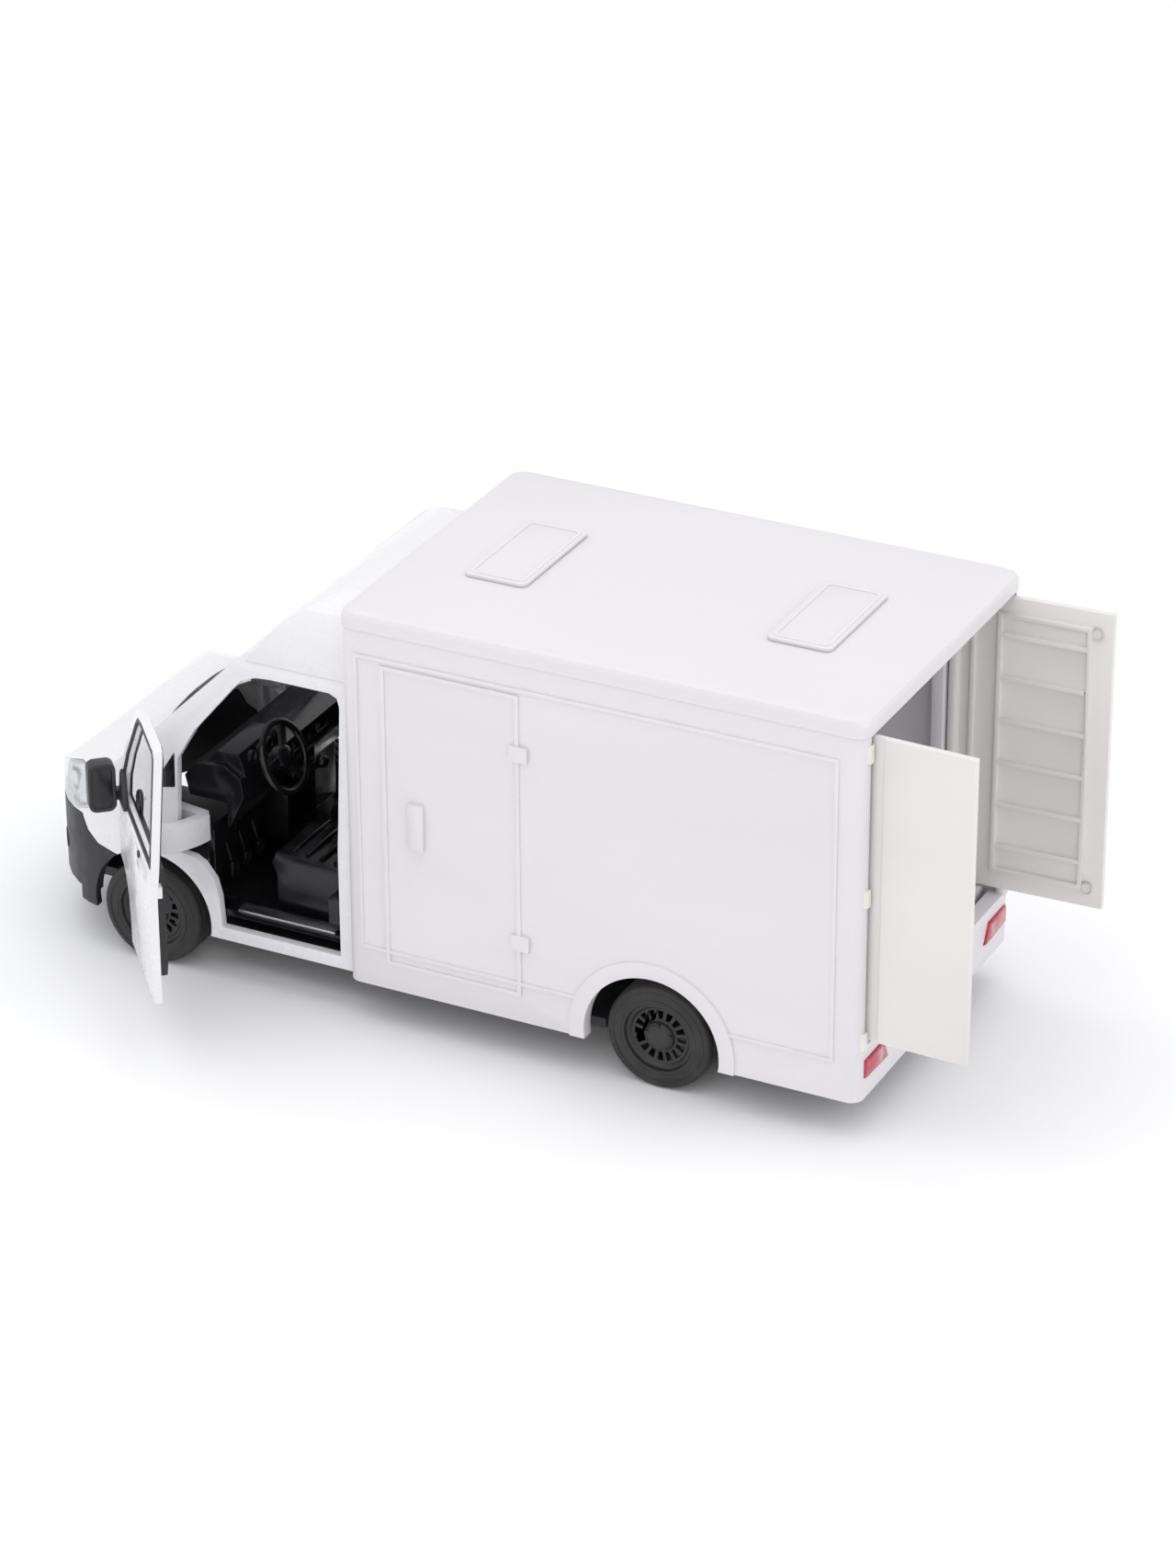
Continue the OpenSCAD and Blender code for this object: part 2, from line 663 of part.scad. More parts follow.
// White plastic box: walls, cargo floor, wheel housings and rear sill in one moulding
box_r = 1.8;
rear_arch_r = 9.9;
sill_top_z = floor_z - 0.7;
side_door_x1 = box_front_x - 6.1;
side_door_x0 = side_door_x1 - side_door_w;
module box_body() {
  inner_front_x = box_front_x - box_wall;
  floor_rear_x = box_rear_x + 3.1;
  sill_depth = 2.2;
  house_in_y = tyre_in_y - 1.9;
  color(white_plastic) difference() {
    union() {
      difference() {
        translate([0, 0, box_low_z]) linear_extrude(box_h)
          round_rect(box_rear_x, box_front_x, -box_half, box_half, box_r);
        block([box_rear_x - 1, -box_inner, sill_top_z], [inner_front_x, box_inner, seam_z + 1]);
        block([box_rear_x + sill_depth, -box_inner, 0], [inner_front_x, box_inner, seam_z]);
      }
      block([floor_rear_x, -box_inner, floor_z - floor_t], [inner_front_x, box_inner, floor_z]);
      for (spot = box_screws) upright(screw_boss_r, spot[0], spot[1], plate_t, floor_z - floor_t);
      for (side = [LEFT, RIGHT]) on_side(side) {
        box_side_trim();
        rear_hinge_lug();
        intersection() {
          cross_shaft(rear_arch_r + 1, rear_axle_x, axle_z, house_in_y, box_inner);
          block([box_rear_x, 0, floor_z - floor_t], [box_front_x, box_half, seam_z]);
        }
      }
    }
    for (side = [LEFT, RIGHT]) on_side(side) {
      cross_shaft(rear_arch_r, rear_axle_x, axle_z, house_in_y + 1, box_half + 2);
      upright(hinge_pin_r, rear_hinge_x, rear_hinge_y, floor_z - 1.2, seam_z + 1);
      tail_light_form(seam_gap);
    }
    block([inner_front_x - 1, -plate_half - seam_gap, 0], [box_front_x + 1, plate_half + seam_gap, plate_t]);
    for (spot = box_screws) upright(screw_r, spot[0], spot[1], 0, 3.8);
  }
}

// Beads, hinges and handle moulded on the left wall, and the ring round its wheel arch
module box_side_trim() {
  frame_low = 6.5;
  frame_top = seam_z - 3.4;
  hinge_w = 2.6;
  side_frame(box_rear_x + 3.6, box_front_x - 2.2, frame_low, frame_top, 0.5);
  side_frame(side_door_x0, side_door_x1, 4.8, seam_z - 4.4, 0.6);
  for (z = [11.9, 39.9]) block([side_door_x0 - 1.3, box_half - 0.2, z], [side_door_x0 - 1.3 + hinge_w, box_half + 0.55, z + 2.2]);
  block([side_door_x1 - 6.2, box_half - 0.2, 23.4], [side_door_x1 - 3.9, box_half + 0.6, 30.1]);
  difference() {
    cross_shaft(rear_arch_r + 2.2, rear_axle_x, axle_z, box_half - 0.2, box_half + 0.35);
    block([rear_axle_x - 20, box_half - 1, -20], [rear_axle_x + 20, box_half + 1, box_low_z]);
  }
}

// Lug at the top of a rear hinge, the frame that the closed door rests on, and the floor's pin seat
module rear_hinge_lug() {
  stop_x = rear_hinge_x + rear_door_t / 2 + 0.3;
  block([rear_hinge_x - knuckle_r, rear_hinge_y - knuckle_r, seam_z - hinge_lug_t], [stop_x, box_inner, seam_z]);
  block([stop_x, box_inner - 3, floor_z], [stop_x + 1.6, box_inner, seam_z]);
}

// Roof panel with a soft edge
module roof_panel() {
  lip = 0.15;
  color(white_plastic) {
    translate([0, 0, seam_z]) linear_extrude(roof_t - 1)
      round_rect(box_rear_x - lip, box_front_x + lip, -box_half - lip, box_half + lip, box_r);
    translate([0, 0, seam_z + roof_t - 1]) hull() {
      linear_extrude(0.01) round_rect(box_rear_x - lip, box_front_x + lip, -box_half - lip, box_half + lip, box_r, $fn = 32);
      translate([0, 0, 0.6]) linear_extrude(0.01)
        round_rect(box_rear_x + 0.15, box_front_x - 0.15, -box_half + 0.15, box_half - 0.15, box_r, $fn = 32);
      translate([0, 0, 0.99]) linear_extrude(0.01)
        round_rect(box_rear_x + 0.8, box_front_x - 0.8, -box_half + 0.8, box_half - 0.8, box_r, $fn = 32);
    }
  }
}

// Raised roof hatches
hatch_t = 0.6;
module roof_hatch(x) {
  color(white_plastic) translate([0, 0, seam_z + roof_t]) linear_extrude(hatch_t)
    round_rect(x - hatch_l / 2, x + hatch_l / 2, -hatch_w / 2, hatch_w / 2, 1);
}
module roof_hatch_front() { roof_hatch(box_front_x - 14.7); }
module roof_hatch_rear() { roof_hatch(box_rear_x + 16.7); }

// Red tail light, let into the rear sill
module tail_light_form(gap) {
  low_z = 3.8;
  top_z = 6.6;
  outer_y = box_half - 1.8;
  inner_y = outer_y - 7.2;
  translate([box_rear_x - 0.35, 0, 0]) rotate([90, 0, 90]) linear_extrude(1.2) offset(delta = gap) polygon([
    [outer_y, low_z + 0.3], [outer_y, top_z], [inner_y + 1.4, top_z], [inner_y, low_z]
  ]);
}
module tail_light_left() { color(lamp_red) tail_light_form(0); }
module tail_light_right() { color(lamp_red) on_side(RIGHT) tail_light_form(0); }

// Steel pin of a rear door hinge
module rear_hinge_pin(side) { on_side(side) upright(hinge_pin_r, rear_hinge_x, rear_hinge_y, floor_z - 1.2, seam_z); }
module rear_hinge_pin_left() { color(bare_metal) rear_hinge_pin(LEFT); }
module rear_hinge_pin_right() { color(bare_metal) rear_hinge_pin(RIGHT); }

// ---------- doors ----------

// Opens a left-hand piece of a cab door about its pin
module cab_door_at(side) {
  on_side(side) swing(neck_pin_x, neck_pin_y, side > 0 ? -left_door_open : 0) children();
}

// Neck cast with the door: an eye on the pin, a spoke, and a bend that clears the door post
module door_neck() {
  root_angle = 163;
  root_x = neck_pin_x - neck_r - neck_t / 2;
  root_y = neck_pin_y + neck_r * sin(root_angle) - neck_t / 2;
  translate([neck_pin_x, neck_pin_y, neck_low_z]) linear_extrude(neck_top_z - neck_low_z) {
    circle(neck_eye_r);
    rotate(neck_angle) translate([0, -neck_t / 2]) square([neck_r, neck_t]);
    intersection() {
      difference() {
        circle(neck_r + neck_t / 2);
        circle(neck_r - neck_t / 2);
      }
      polygon(concat([[0, 0]], [for (a = [root_angle, 190, neck_angle]) 2 * neck_r * [cos(a), sin(a)]]));
    }
  }
  block([root_x, root_y, neck_low_z], [root_x + neck_t, cab_half - skin_t / 2, neck_top_z]);
}

// Painted skin of a cab door with its window frame, handle, latch tongue and neck
module cab_door(side) {
  latch_z = 19;
  cab_door_at(side) difference() {
    union() {
      difference() {
        intersection() {
          difference() {
            cab_form(0);
            cab_form(skin_t);
          }
          across(0, cab_half + 1) door_outline(0);
        }
        across(0, cab_half + 1) window_outline();
      }
      intersection() {
        door_neck();
        cab_form(skin_t / 2);
      }
      block([door_rear_x + 0.2, cab_half - skin_t - 0.7, latch_z], [door_rear_x + 1.6, cab_half - skin_t, latch_z + 1.6]);
      translate([door_rear_x + 3.4, cab_half - 0.7, 20.6]) cube([4.2, 1.05, 0.9]);
    }
    upright(hinge_pin_r + run_gap, neck_pin_x, neck_pin_y, neck_low_z - 1, neck_top_z + 1);
  }
}
module cab_door_left() { color(white_paint) cab_door(LEFT); }
module cab_door_right() { color(white_paint) cab_door(RIGHT); }

// Black inner lining, pressed against the skin, with a map pocket and an armrest
module door_lining(side) {
  inner_y = cab_half - skin_t - 1.3;
  lining_front_x = neck_pin_x - neck_r - neck_t / 2 - 0.3;
  cab_door_at(side) {
    difference() {
      intersection() {
        cab_form(skin_t);
        across(inner_y, cab_half) polygon([
          [door_rear_x + 1.7, 8.4], [door_rear_x + 2.7, 6], [door_rear_x + 4.8, 4.7], [front_axle_x - 13.4, 4.7],
          [front_axle_x - 12.4, 8], [front_axle_x - 11.4, 10.8], [lining_front_x, 13], [lining_front_x, belt_z - 0.8],
          [door_rear_x + 1.7, belt_z - 0.8]
        ]);
      }
      across(inner_y - 1, inner_y + 0.5) polygon([
        [door_rear_x + 3, 6.4], [front_axle_x - 14.6, 6.4], [front_axle_x - 12.4, 10.4], [door_rear_x + 3, 10.4]
      ]);
    }
    block([door_rear_x + 4, inner_y - 1.2, 14.6], [door_rear_x + 14, inner_y, 16]);
  }
}
module door_lining_left() { color(black_plastic) door_lining(LEFT); }
module door_lining_right() { color(black_plastic) door_lining(RIGHT); }

// Door mirror: a round-edged housing on an arm, and the glass in its back
mirror_w = 3.8;
mirror_depth = 2.2;
mirror_x = door_front_x - 2.2;
mirror_y = cab_half + 0.5;
mirror_low_z = 21.4;
module mirror_housing(side) {
  cab_door_at(side) difference() {
    union() {
      translate([mirror_x, 0, 0]) rotate([90, 0, 90]) linear_extrude(mirror_depth)
        round_rect(mirror_y, mirror_y + mirror_w, mirror_low_z, mirror_low_z + mirror_h, 1.1);
      block([mirror_x + 0.4, cab_half - 0.26, mirror_low_z + 1.4], [mirror_x + 2, mirror_y + 1, mirror_low_z + 2.8]);
    }
    translate([mirror_x - 1, 0, 0]) rotate([90, 0, 90]) linear_extrude(1.5)
      round_rect(mirror_y + 0.5, mirror_y + mirror_w - 0.5, mirror_low_z + 0.5, mirror_low_z + mirror_h - 0.5, 0.7);
  }
}
module mirror_housing_left() { color(black_plastic) mirror_housing(LEFT); }
module mirror_housing_right() { color(black_plastic) mirror_housing(RIGHT); }
module mirror_glass(side) {
  cab_door_at(side) translate([mirror_x + 0.1, 0, 0]) rotate([90, 0, 90]) linear_extrude(0.4)
    round_rect(mirror_y + 0.5, mirror_y + mirror_w - 0.5, mirror_low_z + 0.5, mirror_low_z + mirror_h - 0.5, 0.7);
}
module mirror_glass_left() { color(bare_metal) mirror_glass(LEFT); }
module mirror_glass_right() { color(bare_metal) mirror_glass(RIGHT); }

// Rear door: drawn closed, reaching from its pin to the middle, with bars on the inside
module rear_door(side) {
  reach = rear_hinge_y - 0.2;
  face_x = rear_hinge_x - rear_door_t / 2;
  back_x = face_x + rear_door_t - 0.4;
  bar_w = 0.7;
  bar_y0 = rear_hinge_y - 6.3;
  bar_y1 = 3.4;
  bar_low = rear_door_low + 2.6;
  bar_top = rear_door_top - 2.3;
  rung_low = bar_low + 3.7;
  rung_step = (bar_top - 3.7 - rung_low) / (rear_door_bars - 1);
  notch_z = seam_z - hinge_lug_t - 0.3;
  on_side(side) swing(rear_hinge_x, rear_hinge_y, -rear_door_open) difference() {
    union() {
      block([face_x, rear_hinge_y - reach, rear_door_low], [back_x, rear_hinge_y - 9.5, rear_door_top]);
      block([face_x + 0.3, rear_hinge_y - 9.5, rear_door_low], [back_x, rear_hinge_y - 2, rear_door_top]);
      block([face_x + 0.3, rear_hinge_y - 2, rear_door_low], [back_x, rear_hinge_y, notch_z]);
      upright(knuckle_r - 0.05, rear_hinge_x, rear_hinge_y, rear_door_low, notch_z);
      for (y = [bar_y1, bar_y0, rear_hinge_y - 2.6])
        block([back_x, y - bar_w / 2, bar_low], [back_x + 0.4, y + bar_w / 2, bar_top]);
      for (z = [bar_low, bar_top - bar_w]) block([back_x, bar_y1, z], [back_x + 0.4, bar_y0, z + bar_w]);
      for (i = [0:rear_door_bars - 1])
        block([back_x, bar_y1, rung_low + i * rung_step], [back_x + 0.4, bar_y0, rung_low + i * rung_step + bar_w]);
    }
    upright(hinge_pin_r + run_gap, rear_hinge_x, rear_hinge_y, rear_door_low - 1, rear_door_top + 1);
  }
}
module rear_door_left() { color(warm_white) rear_door(LEFT); }
module rear_door_right() { color(warm_white) rear_door(RIGHT); }

// ---------- wheels ----------

// Tyre with a round-shouldered tread and three grooves, drawn about its own axis
module tyre(x, side) {
  r_out = tyre_d / 2;
  r_in = rim_d / 2;
  shoulder = 0.7;
  groove = 0.3;
  on_side(side) translate([x, tyre_in_y, axle_z]) rotate([-90, 0, 0]) rotate_extrude() polygon(concat(
    [[r_in, 0], [r_out - shoulder, 0], [r_out - 0.2, 0.2], [r_out, shoulder]],
    [for (i = [1:3], p = [[0, -0.2], [-groove, -0.2], [-groove, 0.2], [0, 0.2]])
      [r_out + p[0], tyre_w * i / 4 + p[1]]],
    [[r_out, tyre_w - shoulder], [r_out - 0.2, tyre_w - 0.2], [r_out - shoulder, tyre_w], [r_in, tyre_w]]
  ));
}

// Rim with sixteen vent slots round a domed hub
rim_slots = 16;
module rim(x, side) {
  r = rim_d / 2;
  rim_w = tyre_w - 0.4;
  face_t = 0.8;
  on_side(side) translate([x, tyre_in_y, axle_z]) rotate([-90, 0, 0]) difference() {
    union() {
      rotate_extrude() polygon([
        [axle_r, 0.4], [2, 0.4], [2, rim_w - face_t - 0.3], [r - 0.9, rim_w - face_t - 0.3], [r - 0.9, 0.2],
        [r, 0.2], [r, rim_w], [r - 0.5, rim_w], [r - 0.9, rim_w - 0.5], [2.2, rim_w - 0.5], [2, rim_w],
        [axle_r, rim_w]
      ]);
      rotate_extrude() polygon(concat([[0, rim_w]], [for (a = [0:15:90]) [1.9 * cos(a), rim_w + 0.5 * sin(a)]]));
    }
    for (i = [0:rim_slots - 1]) rotate([0, 0, i * 360 / rim_slots]) linear_extrude(tyre_w + 1)
      polygon([[2.5, -0.26], [r - 1.2, -0.46], [r - 1.2, 0.46], [2.5, 0.26]]);
  }
}
module front_rim_left() { color(black_plastic) rim(front_axle_x, LEFT); }
module front_rim_right() { color(black_plastic) rim(front_axle_x, RIGHT); }
module rear_rim_left() { color(black_plastic) rim(rear_axle_x, LEFT); }
module rear_rim_right() { color(black_plastic) rim(rear_axle_x, RIGHT); }
module front_tyre_left() { color(rubber_black) tyre(front_axle_x, LEFT); }
module front_tyre_right() { color(rubber_black) tyre(front_axle_x, RIGHT); }
module rear_tyre_left() { color(rubber_black) tyre(rear_axle_x, LEFT); }
module rear_tyre_right() { color(rubber_black) tyre(rear_axle_x, RIGHT); }

// Steel axle pressed into both rims
module axle(x) {
  end_y = tyre_out_y - 0.4;
  cross_shaft(axle_r, x, axle_z, -end_y, end_y);
}
module front_axle() { color(bare_metal) axle(front_axle_x); }
module rear_axle() { color(bare_metal) axle(rear_axle_x); }

// ---------- motor gears ----------

// Straight-sided gear outline with its first tooth on +X
module gear_outline(teeth) {
  pitch_r = gear_module * teeth / 2;
  tip_r = pitch_r + 0.24;
  root_r = pitch_r - 0.4;
  step = 360 / teeth;
  polygon([for (i = [0:teeth - 1], p = [[root_r, -0.28], [tip_r, -0.12], [tip_r, 0.12], [root_r, 0.28]])
    p[0] * [cos(step * (i + p[1])), sin(step * (i + p[1]))]]);
}

// Pinion on the rear axle, its tooth aimed at the spring gear
mesh_angle = atan2(spring_gear_z - axle_z, spring_gear_x - rear_axle_x);
module axle_pinion() {
  color(gear_ivory) translate([rear_axle_x, gear_w / 2, axle_z]) rotate([90, 0, 0]) linear_extrude(gear_w)
    difference() {
      rotate(mesh_angle) gear_outline(pinion_teeth);
      circle(axle_r);
    }
}

// Spring gear and its arbor, a tooth gap aimed back at the pinion
module spring_gear() {
  arbor_end = case_half - 0.1;
  color(gear_ivory) {
    translate([spring_gear_x, gear_w / 2, spring_gear_z]) rotate([90, 0, 0]) linear_extrude(gear_w)
      rotate(mesh_angle + 180 + 180 / spring_teeth) gear_outline(spring_teeth);
    cross_shaft(arbor_r, spring_gear_x, spring_gear_z, -arbor_end, arbor_end);
  }
}

base_plate();
base_screws();
motor_case_lower();
motor_case_upper();
cab_shell();
roof_fairing();
windscreen();
cowl_panel();
front_bumper();
front_grille();
headlight_lens_left();
headlight_lens_right();
headlight_bowl_left();
headlight_bowl_right();
cab_tub();
dashboard();
steering_column();
steering_wheel();
driver_seat();
passenger_seat();
gear_lever();
sill_plate_left();
sill_plate_right();
door_catch_left();
door_catch_right();
hinge_bracket_left();
hinge_bracket_right();
cab_hinge_pin_left();
cab_hinge_pin_right();
box_body();
roof_panel();
roof_hatch_front();
roof_hatch_rear();
tail_light_left();
tail_light_right();
rear_hinge_pin_left();
rear_hinge_pin_right();
cab_door_left();
door_lining_left();
mirror_housing_left();
mirror_glass_left();
cab_door_right();
door_lining_right();
mirror_housing_right();
mirror_glass_right();
rear_door_left();
rear_door_right();
front_axle();
front_rim_left();
front_rim_right();
front_tyre_left();
front_tyre_right();
rear_axle();
rear_rim_left();
rear_rim_right();
rear_tyre_left();
rear_tyre_right();
axle_pinion();
spring_gear();
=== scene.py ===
import json
import math

import bmesh
import bpy
from mathutils import Matrix, Vector


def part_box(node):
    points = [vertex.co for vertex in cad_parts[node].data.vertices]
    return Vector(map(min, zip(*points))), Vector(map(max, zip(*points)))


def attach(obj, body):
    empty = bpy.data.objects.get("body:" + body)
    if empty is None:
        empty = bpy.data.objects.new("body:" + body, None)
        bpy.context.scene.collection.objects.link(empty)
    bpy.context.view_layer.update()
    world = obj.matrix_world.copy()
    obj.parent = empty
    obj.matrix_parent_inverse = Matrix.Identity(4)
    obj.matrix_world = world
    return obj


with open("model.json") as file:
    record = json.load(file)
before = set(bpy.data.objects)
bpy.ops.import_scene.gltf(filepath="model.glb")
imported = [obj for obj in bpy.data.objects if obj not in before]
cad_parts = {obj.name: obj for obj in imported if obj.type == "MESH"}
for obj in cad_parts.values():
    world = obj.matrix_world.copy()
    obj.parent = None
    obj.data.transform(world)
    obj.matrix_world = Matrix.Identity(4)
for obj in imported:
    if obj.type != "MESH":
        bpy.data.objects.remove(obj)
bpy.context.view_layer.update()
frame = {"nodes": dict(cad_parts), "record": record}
MM = 0.001
LEFT, RIGHT = 1, -1
SIDES = (("left", LEFT), ("right", RIGHT))

# The display table: a seamless pale sheet of matt laminate under a big overhead soft box and
# two fill panels. The camera stands behind the van on its left, looking down at 27 degrees.
scene = bpy.context.scene
scene.view_settings.view_transform = "Standard"
scene.view_settings.look = "None"


class Socket:
    """A node's output that can be used in sums, so shader maths reads like maths."""

    def __init__(self, finish, output):
        self.finish, self.output = finish, output

    def sum_with(self, operation, other, swap=False):
        pair = (other, self) if swap else (self, other)
        return self.finish.node("Math", {"operation": operation}, {0: pair[0], 1: pair[1]})

    def __add__(self, other):
        return self.sum_with("ADD", other)

    def __sub__(self, other):
        return self.sum_with("SUBTRACT", other)

    def __rsub__(self, other):
        return self.sum_with("SUBTRACT", other, True)

    def __mul__(self, other):
        return self.sum_with("MULTIPLY", other)

    __radd__ = __add__
    __rmul__ = __mul__


class Finish:
    """A material in the making; node() adds any node and hands back its first or named output."""

    def __init__(self, name):
        self.material = bpy.data.materials.new(name)
        self.material.use_nodes = True
        self.tree = self.material.node_tree
        self.tree.nodes.clear()
        self.surface = self.tree.nodes.new("ShaderNodeBsdfPrincipled")
        output = self.tree.nodes.new("ShaderNodeOutputMaterial")
        self.tree.links.new(self.surface.outputs[0], output.inputs[0])

    def node(self, kind, settings, inputs, output=0):
        made = self.tree.nodes.new("ShaderNode" + kind)
        for key, value in settings.items():
            setattr(made, key, value)
        for key, value in inputs.items():
            self.feed(made.inputs[key], value)
        return Socket(self, made.outputs[output])

    def feed(self, target, value):
        if isinstance(value, Socket):
            self.tree.links.new(value.output, target)
        elif isinstance(value, (tuple, list)) and len(value) == 3 and target.type == "RGBA":
            target.default_value = (*value, 1)
        else:
            target.default_value = value

    def set(self, **values):
        for key, value in values.items():
            self.feed(self.surface.inputs[key.replace("_", " ")], value)
        return self

    def place(self):
        return self.node("TexCoord", {}, {}, "Object")

    def grain(self, scale, detail=3, roughness=0.55, stretch=None):
        where = self.place()
        if stretch:
            where = self.node("VectorMath", {"operation": "MULTIPLY"}, {0: where, 1: stretch})
        inputs = {"Vector": where, "Scale": scale, "Detail": detail, "Roughness": roughness}
        return self.node("TexNoise", {}, inputs)

    def spread(self, value, low, high, to_low=0.0, to_high=1.0):
        return self.node("MapRange", {"clamp": True}, {0: value, 1: low, 2: high, 3: to_low, 4: to_high})

    def blend(self, share, first, second):
        return self.node("Mix", {"data_type": "RGBA"}, {0: share, 6: first, 7: second}, 2)

    def edges(self, radius):
        rounded = self.node("Bevel", {"samples": 4}, {"Radius": radius})
        straight = self.node("NewGeometry", {}, {}, "Normal")
        facing = self.node("VectorMath", {"operation": "DOT_PRODUCT"}, {0: rounded, 1: straight}, "Value")
        return self.spread(1 - facing, 0.01, 0.16)

    def painted_hollow_shade(self, distance):
        # An ambient-occlusion mask, used to paint shade darker into hollows and seams.
        shade = self.node("AmbientOcclusion", {"samples": 6}, {"Distance": distance}, "AO")
        return self.spread(1 - shade, 0.15, 0.75)

    def relief(self, height, strength, distance):
        return self.node("Bump", {}, {"Height": height, "Strength": strength, "Distance": distance})


floor_finish = Finish("display_table")
table_tone = floor_finish.spread(floor_finish.grain(6), 0.3, 0.7)
floor_finish.set(
    Base_Color=floor_finish.blend(table_tone, (0.955, 0.955, 0.958), (0.975, 0.975, 0.977)),
    Roughness=0.75,
    Normal=floor_finish.relief(floor_finish.grain(900, 2), 0.05, 0.0002),
)
floor_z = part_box("rear_tyre_left")[0].z
floor_mesh = bpy.data.meshes.new("display_table")
reach = 6
corners = ((-reach, -reach), (reach, -reach), (reach, reach), (-reach, reach))
floor_mesh.from_pydata([(x, y, floor_z) for x, y in corners], [], [(0, 1, 2, 3)])
floor = bpy.data.objects.new("display_table", floor_mesh)
scene.collection.objects.link(floor)
floor.data.materials.append(floor_finish.material)

world = bpy.data.worlds.new("soft_room")
scene.world = world
world.use_nodes = True
world.node_tree.nodes["Background"].inputs[0].default_value = (0.97, 0.975, 1, 1)
world.node_tree.nodes["Background"].inputs[1].default_value = 0.92


def soft_panel(name, place, target, size, power):
    """A square area light aimed at a point."""
    lamp = bpy.data.lights.new(name, "AREA")
    lamp.shape, lamp.size, lamp.energy = "SQUARE", size, power
    holder = bpy.data.objects.new(name, lamp)
    scene.collection.objects.link(holder)
    holder.location = place
    holder.rotation_euler = (Vector(target) - Vector(place)).to_track_quat("-Z", "Y").to_euler()


soft_panel("overhead_soft_box", (0.05, 0.1, 0.75), (0, 0, 0), 0.9, 1.7)
soft_panel("side_panel", (-0.25, 0.85, 0.45), (0, 0, 0.03), 0.7, 0.55)
soft_panel("rear_panel", (-0.8, -0.1, 0.4), (0, 0, 0.03), 0.5, 0.6)

camera_data = bpy.data.cameras.new("shop_camera")
camera = bpy.data.objects.new("shop_camera", camera_data)
scene.collection.objects.link(camera)
scene.camera = camera
camera_data.lens, camera_data.sensor_width = 118.6, 36
camera_data.clip_start, camera_data.clip_end = 0.02, 20
azimuth, elevation, roll = (math.radians(a) for a in (206.782, 27.372, -0.261))
back = Vector((
    math.sin(azimuth) * math.cos(elevation), -math.cos(azimuth) * math.cos(elevation), math.sin(elevation)
))
level = Vector((math.cos(azimuth), math.sin(azimuth), 0))
rise = back.cross(level)
right = level * math.cos(roll) + rise * math.sin(roll)
rise = back.cross(right)
camera.rotation_mode = "QUATERNION"
camera.rotation_quaternion = Matrix((right, rise, back)).transposed().to_quaternion()
camera.location = (-0.2963, 0.55375, 0.34535)

# The cargo box is one white ABS moulding with side beads, a moulded side door and wheel arches.
# Its roof is a separate lid, clipped on, with two raised hatches. The plastic is satin, with
# faint flow marks, paler rubbed edges and shade painted darker into the corners.


def moulded_plastic(name, colour, shade, gloss, grain=1400, wear=0.35):
    """Plastic from a steel mould: fine grain, faint flow marks, painted shade in hollows and paler rubbed
    edges.
    """
    finish = Finish(name)
    flow = finish.spread(finish.grain(45, 4, stretch=(0.35, 0.35, 1.6)), 0.3, 0.7)
    rubbed = finish.edges(0.0005) * finish.spread(finish.grain(260, 4), 0.42, 0.62)
    # Painted shade: the colour darkens where ambient occlusion finds hollows and corners.
    hollow_shade = finish.painted_hollow_shade(0.0022)
    tone = finish.blend(flow, shade, colour)
    tone = finish.blend(hollow_shade * 0.55, tone, tuple(c * 0.72 for c in shade))
    tone = finish.blend(rubbed * wear, tone, tuple(min(1, c * 1.12 + 0.03) for c in colour))
    rough = finish.spread(finish.grain(420, 5), 0.3, 0.72, gloss - 0.06, gloss + 0.08) + rubbed * 0.08
    height = finish.grain(grain, 2) + finish.grain(28, 2) * 3
    finish.set(
        Base_Color=tone, Roughness=rough, IOR=1.5, Normal=finish.relief(height, 0.10, 0.00012)
    )
    return finish.material


def dress(node, material):
    """Gives a CAD piece its finish."""
    piece = frame["nodes"][node]
    piece.data.materials.clear()
    piece.data.materials.append(material)
    for face in piece.data.polygons:
        face.material_index = 0
    return piece


def smooth_nodes():
    """Geometry nodes that shade faces smooth and keep the sharper edges crisp."""
    crisp_angle = math.radians(32)
    group = bpy.data.node_groups.new("smooth_faces", "GeometryNodeTree")
    group.interface.new_socket("Geometry", in_out="INPUT", socket_type="NodeSocketGeometry")
    group.interface.new_socket("Geometry", in_out="OUTPUT", socket_type="NodeSocketGeometry")
    new, link = group.nodes.new, group.links.new
    start, end = new("NodeGroupInput"), new("NodeGroupOutput")
    faces, creases = new("GeometryNodeSetShadeSmooth"), new("GeometryNodeSetShadeSmooth")
    angle, over = new("GeometryNodeInputMeshEdgeAngle"), new("FunctionNodeCompare")
    faces.domain, creases.domain = "FACE", "EDGE"
    over.operation = "GREATER_THAN"
    over.inputs[1].default_value = crisp_angle
    creases.inputs["Shade Smooth"].default_value = False
    link(start.outputs[0], faces.inputs[0])
    link(faces.outputs[0], creases.inputs[0])
    link(angle.outputs[0], over.inputs[0])
    link(over.outputs[0], creases.inputs["Selection"])
    link(creases.outputs[0], end.inputs[0])
    return group


smooth_group = smooth_nodes()


def ease_edges(piece, width, segments=2, angle=38, weld=True, flatten=True):
    """Rounds a piece's sharp edges as a mould does, then shades it smooth between them."""
    if weld:
        piece.modifiers.new("weld", "WELD").merge_threshold = 2e-6
    if weld and flatten:
        flat = piece.modifiers.new("flat", "DECIMATE")
        flat.decimate_type, flat.angle_limit = "DISSOLVE", math.radians(0.6)
    if width:
        round_off = piece.modifiers.new("round", "BEVEL")
        round_off.width, round_off.segments = width * MM, segments
        round_off.limit_method, round_off.angle_limit = "ANGLE", math.radians(angle)
        round_off.use_clamp_overlap = True
        round_off.miter_outer = "MITER_ARC"
    piece.modifiers.new("smooth", "NODES").node_group = smooth_group
    return piece


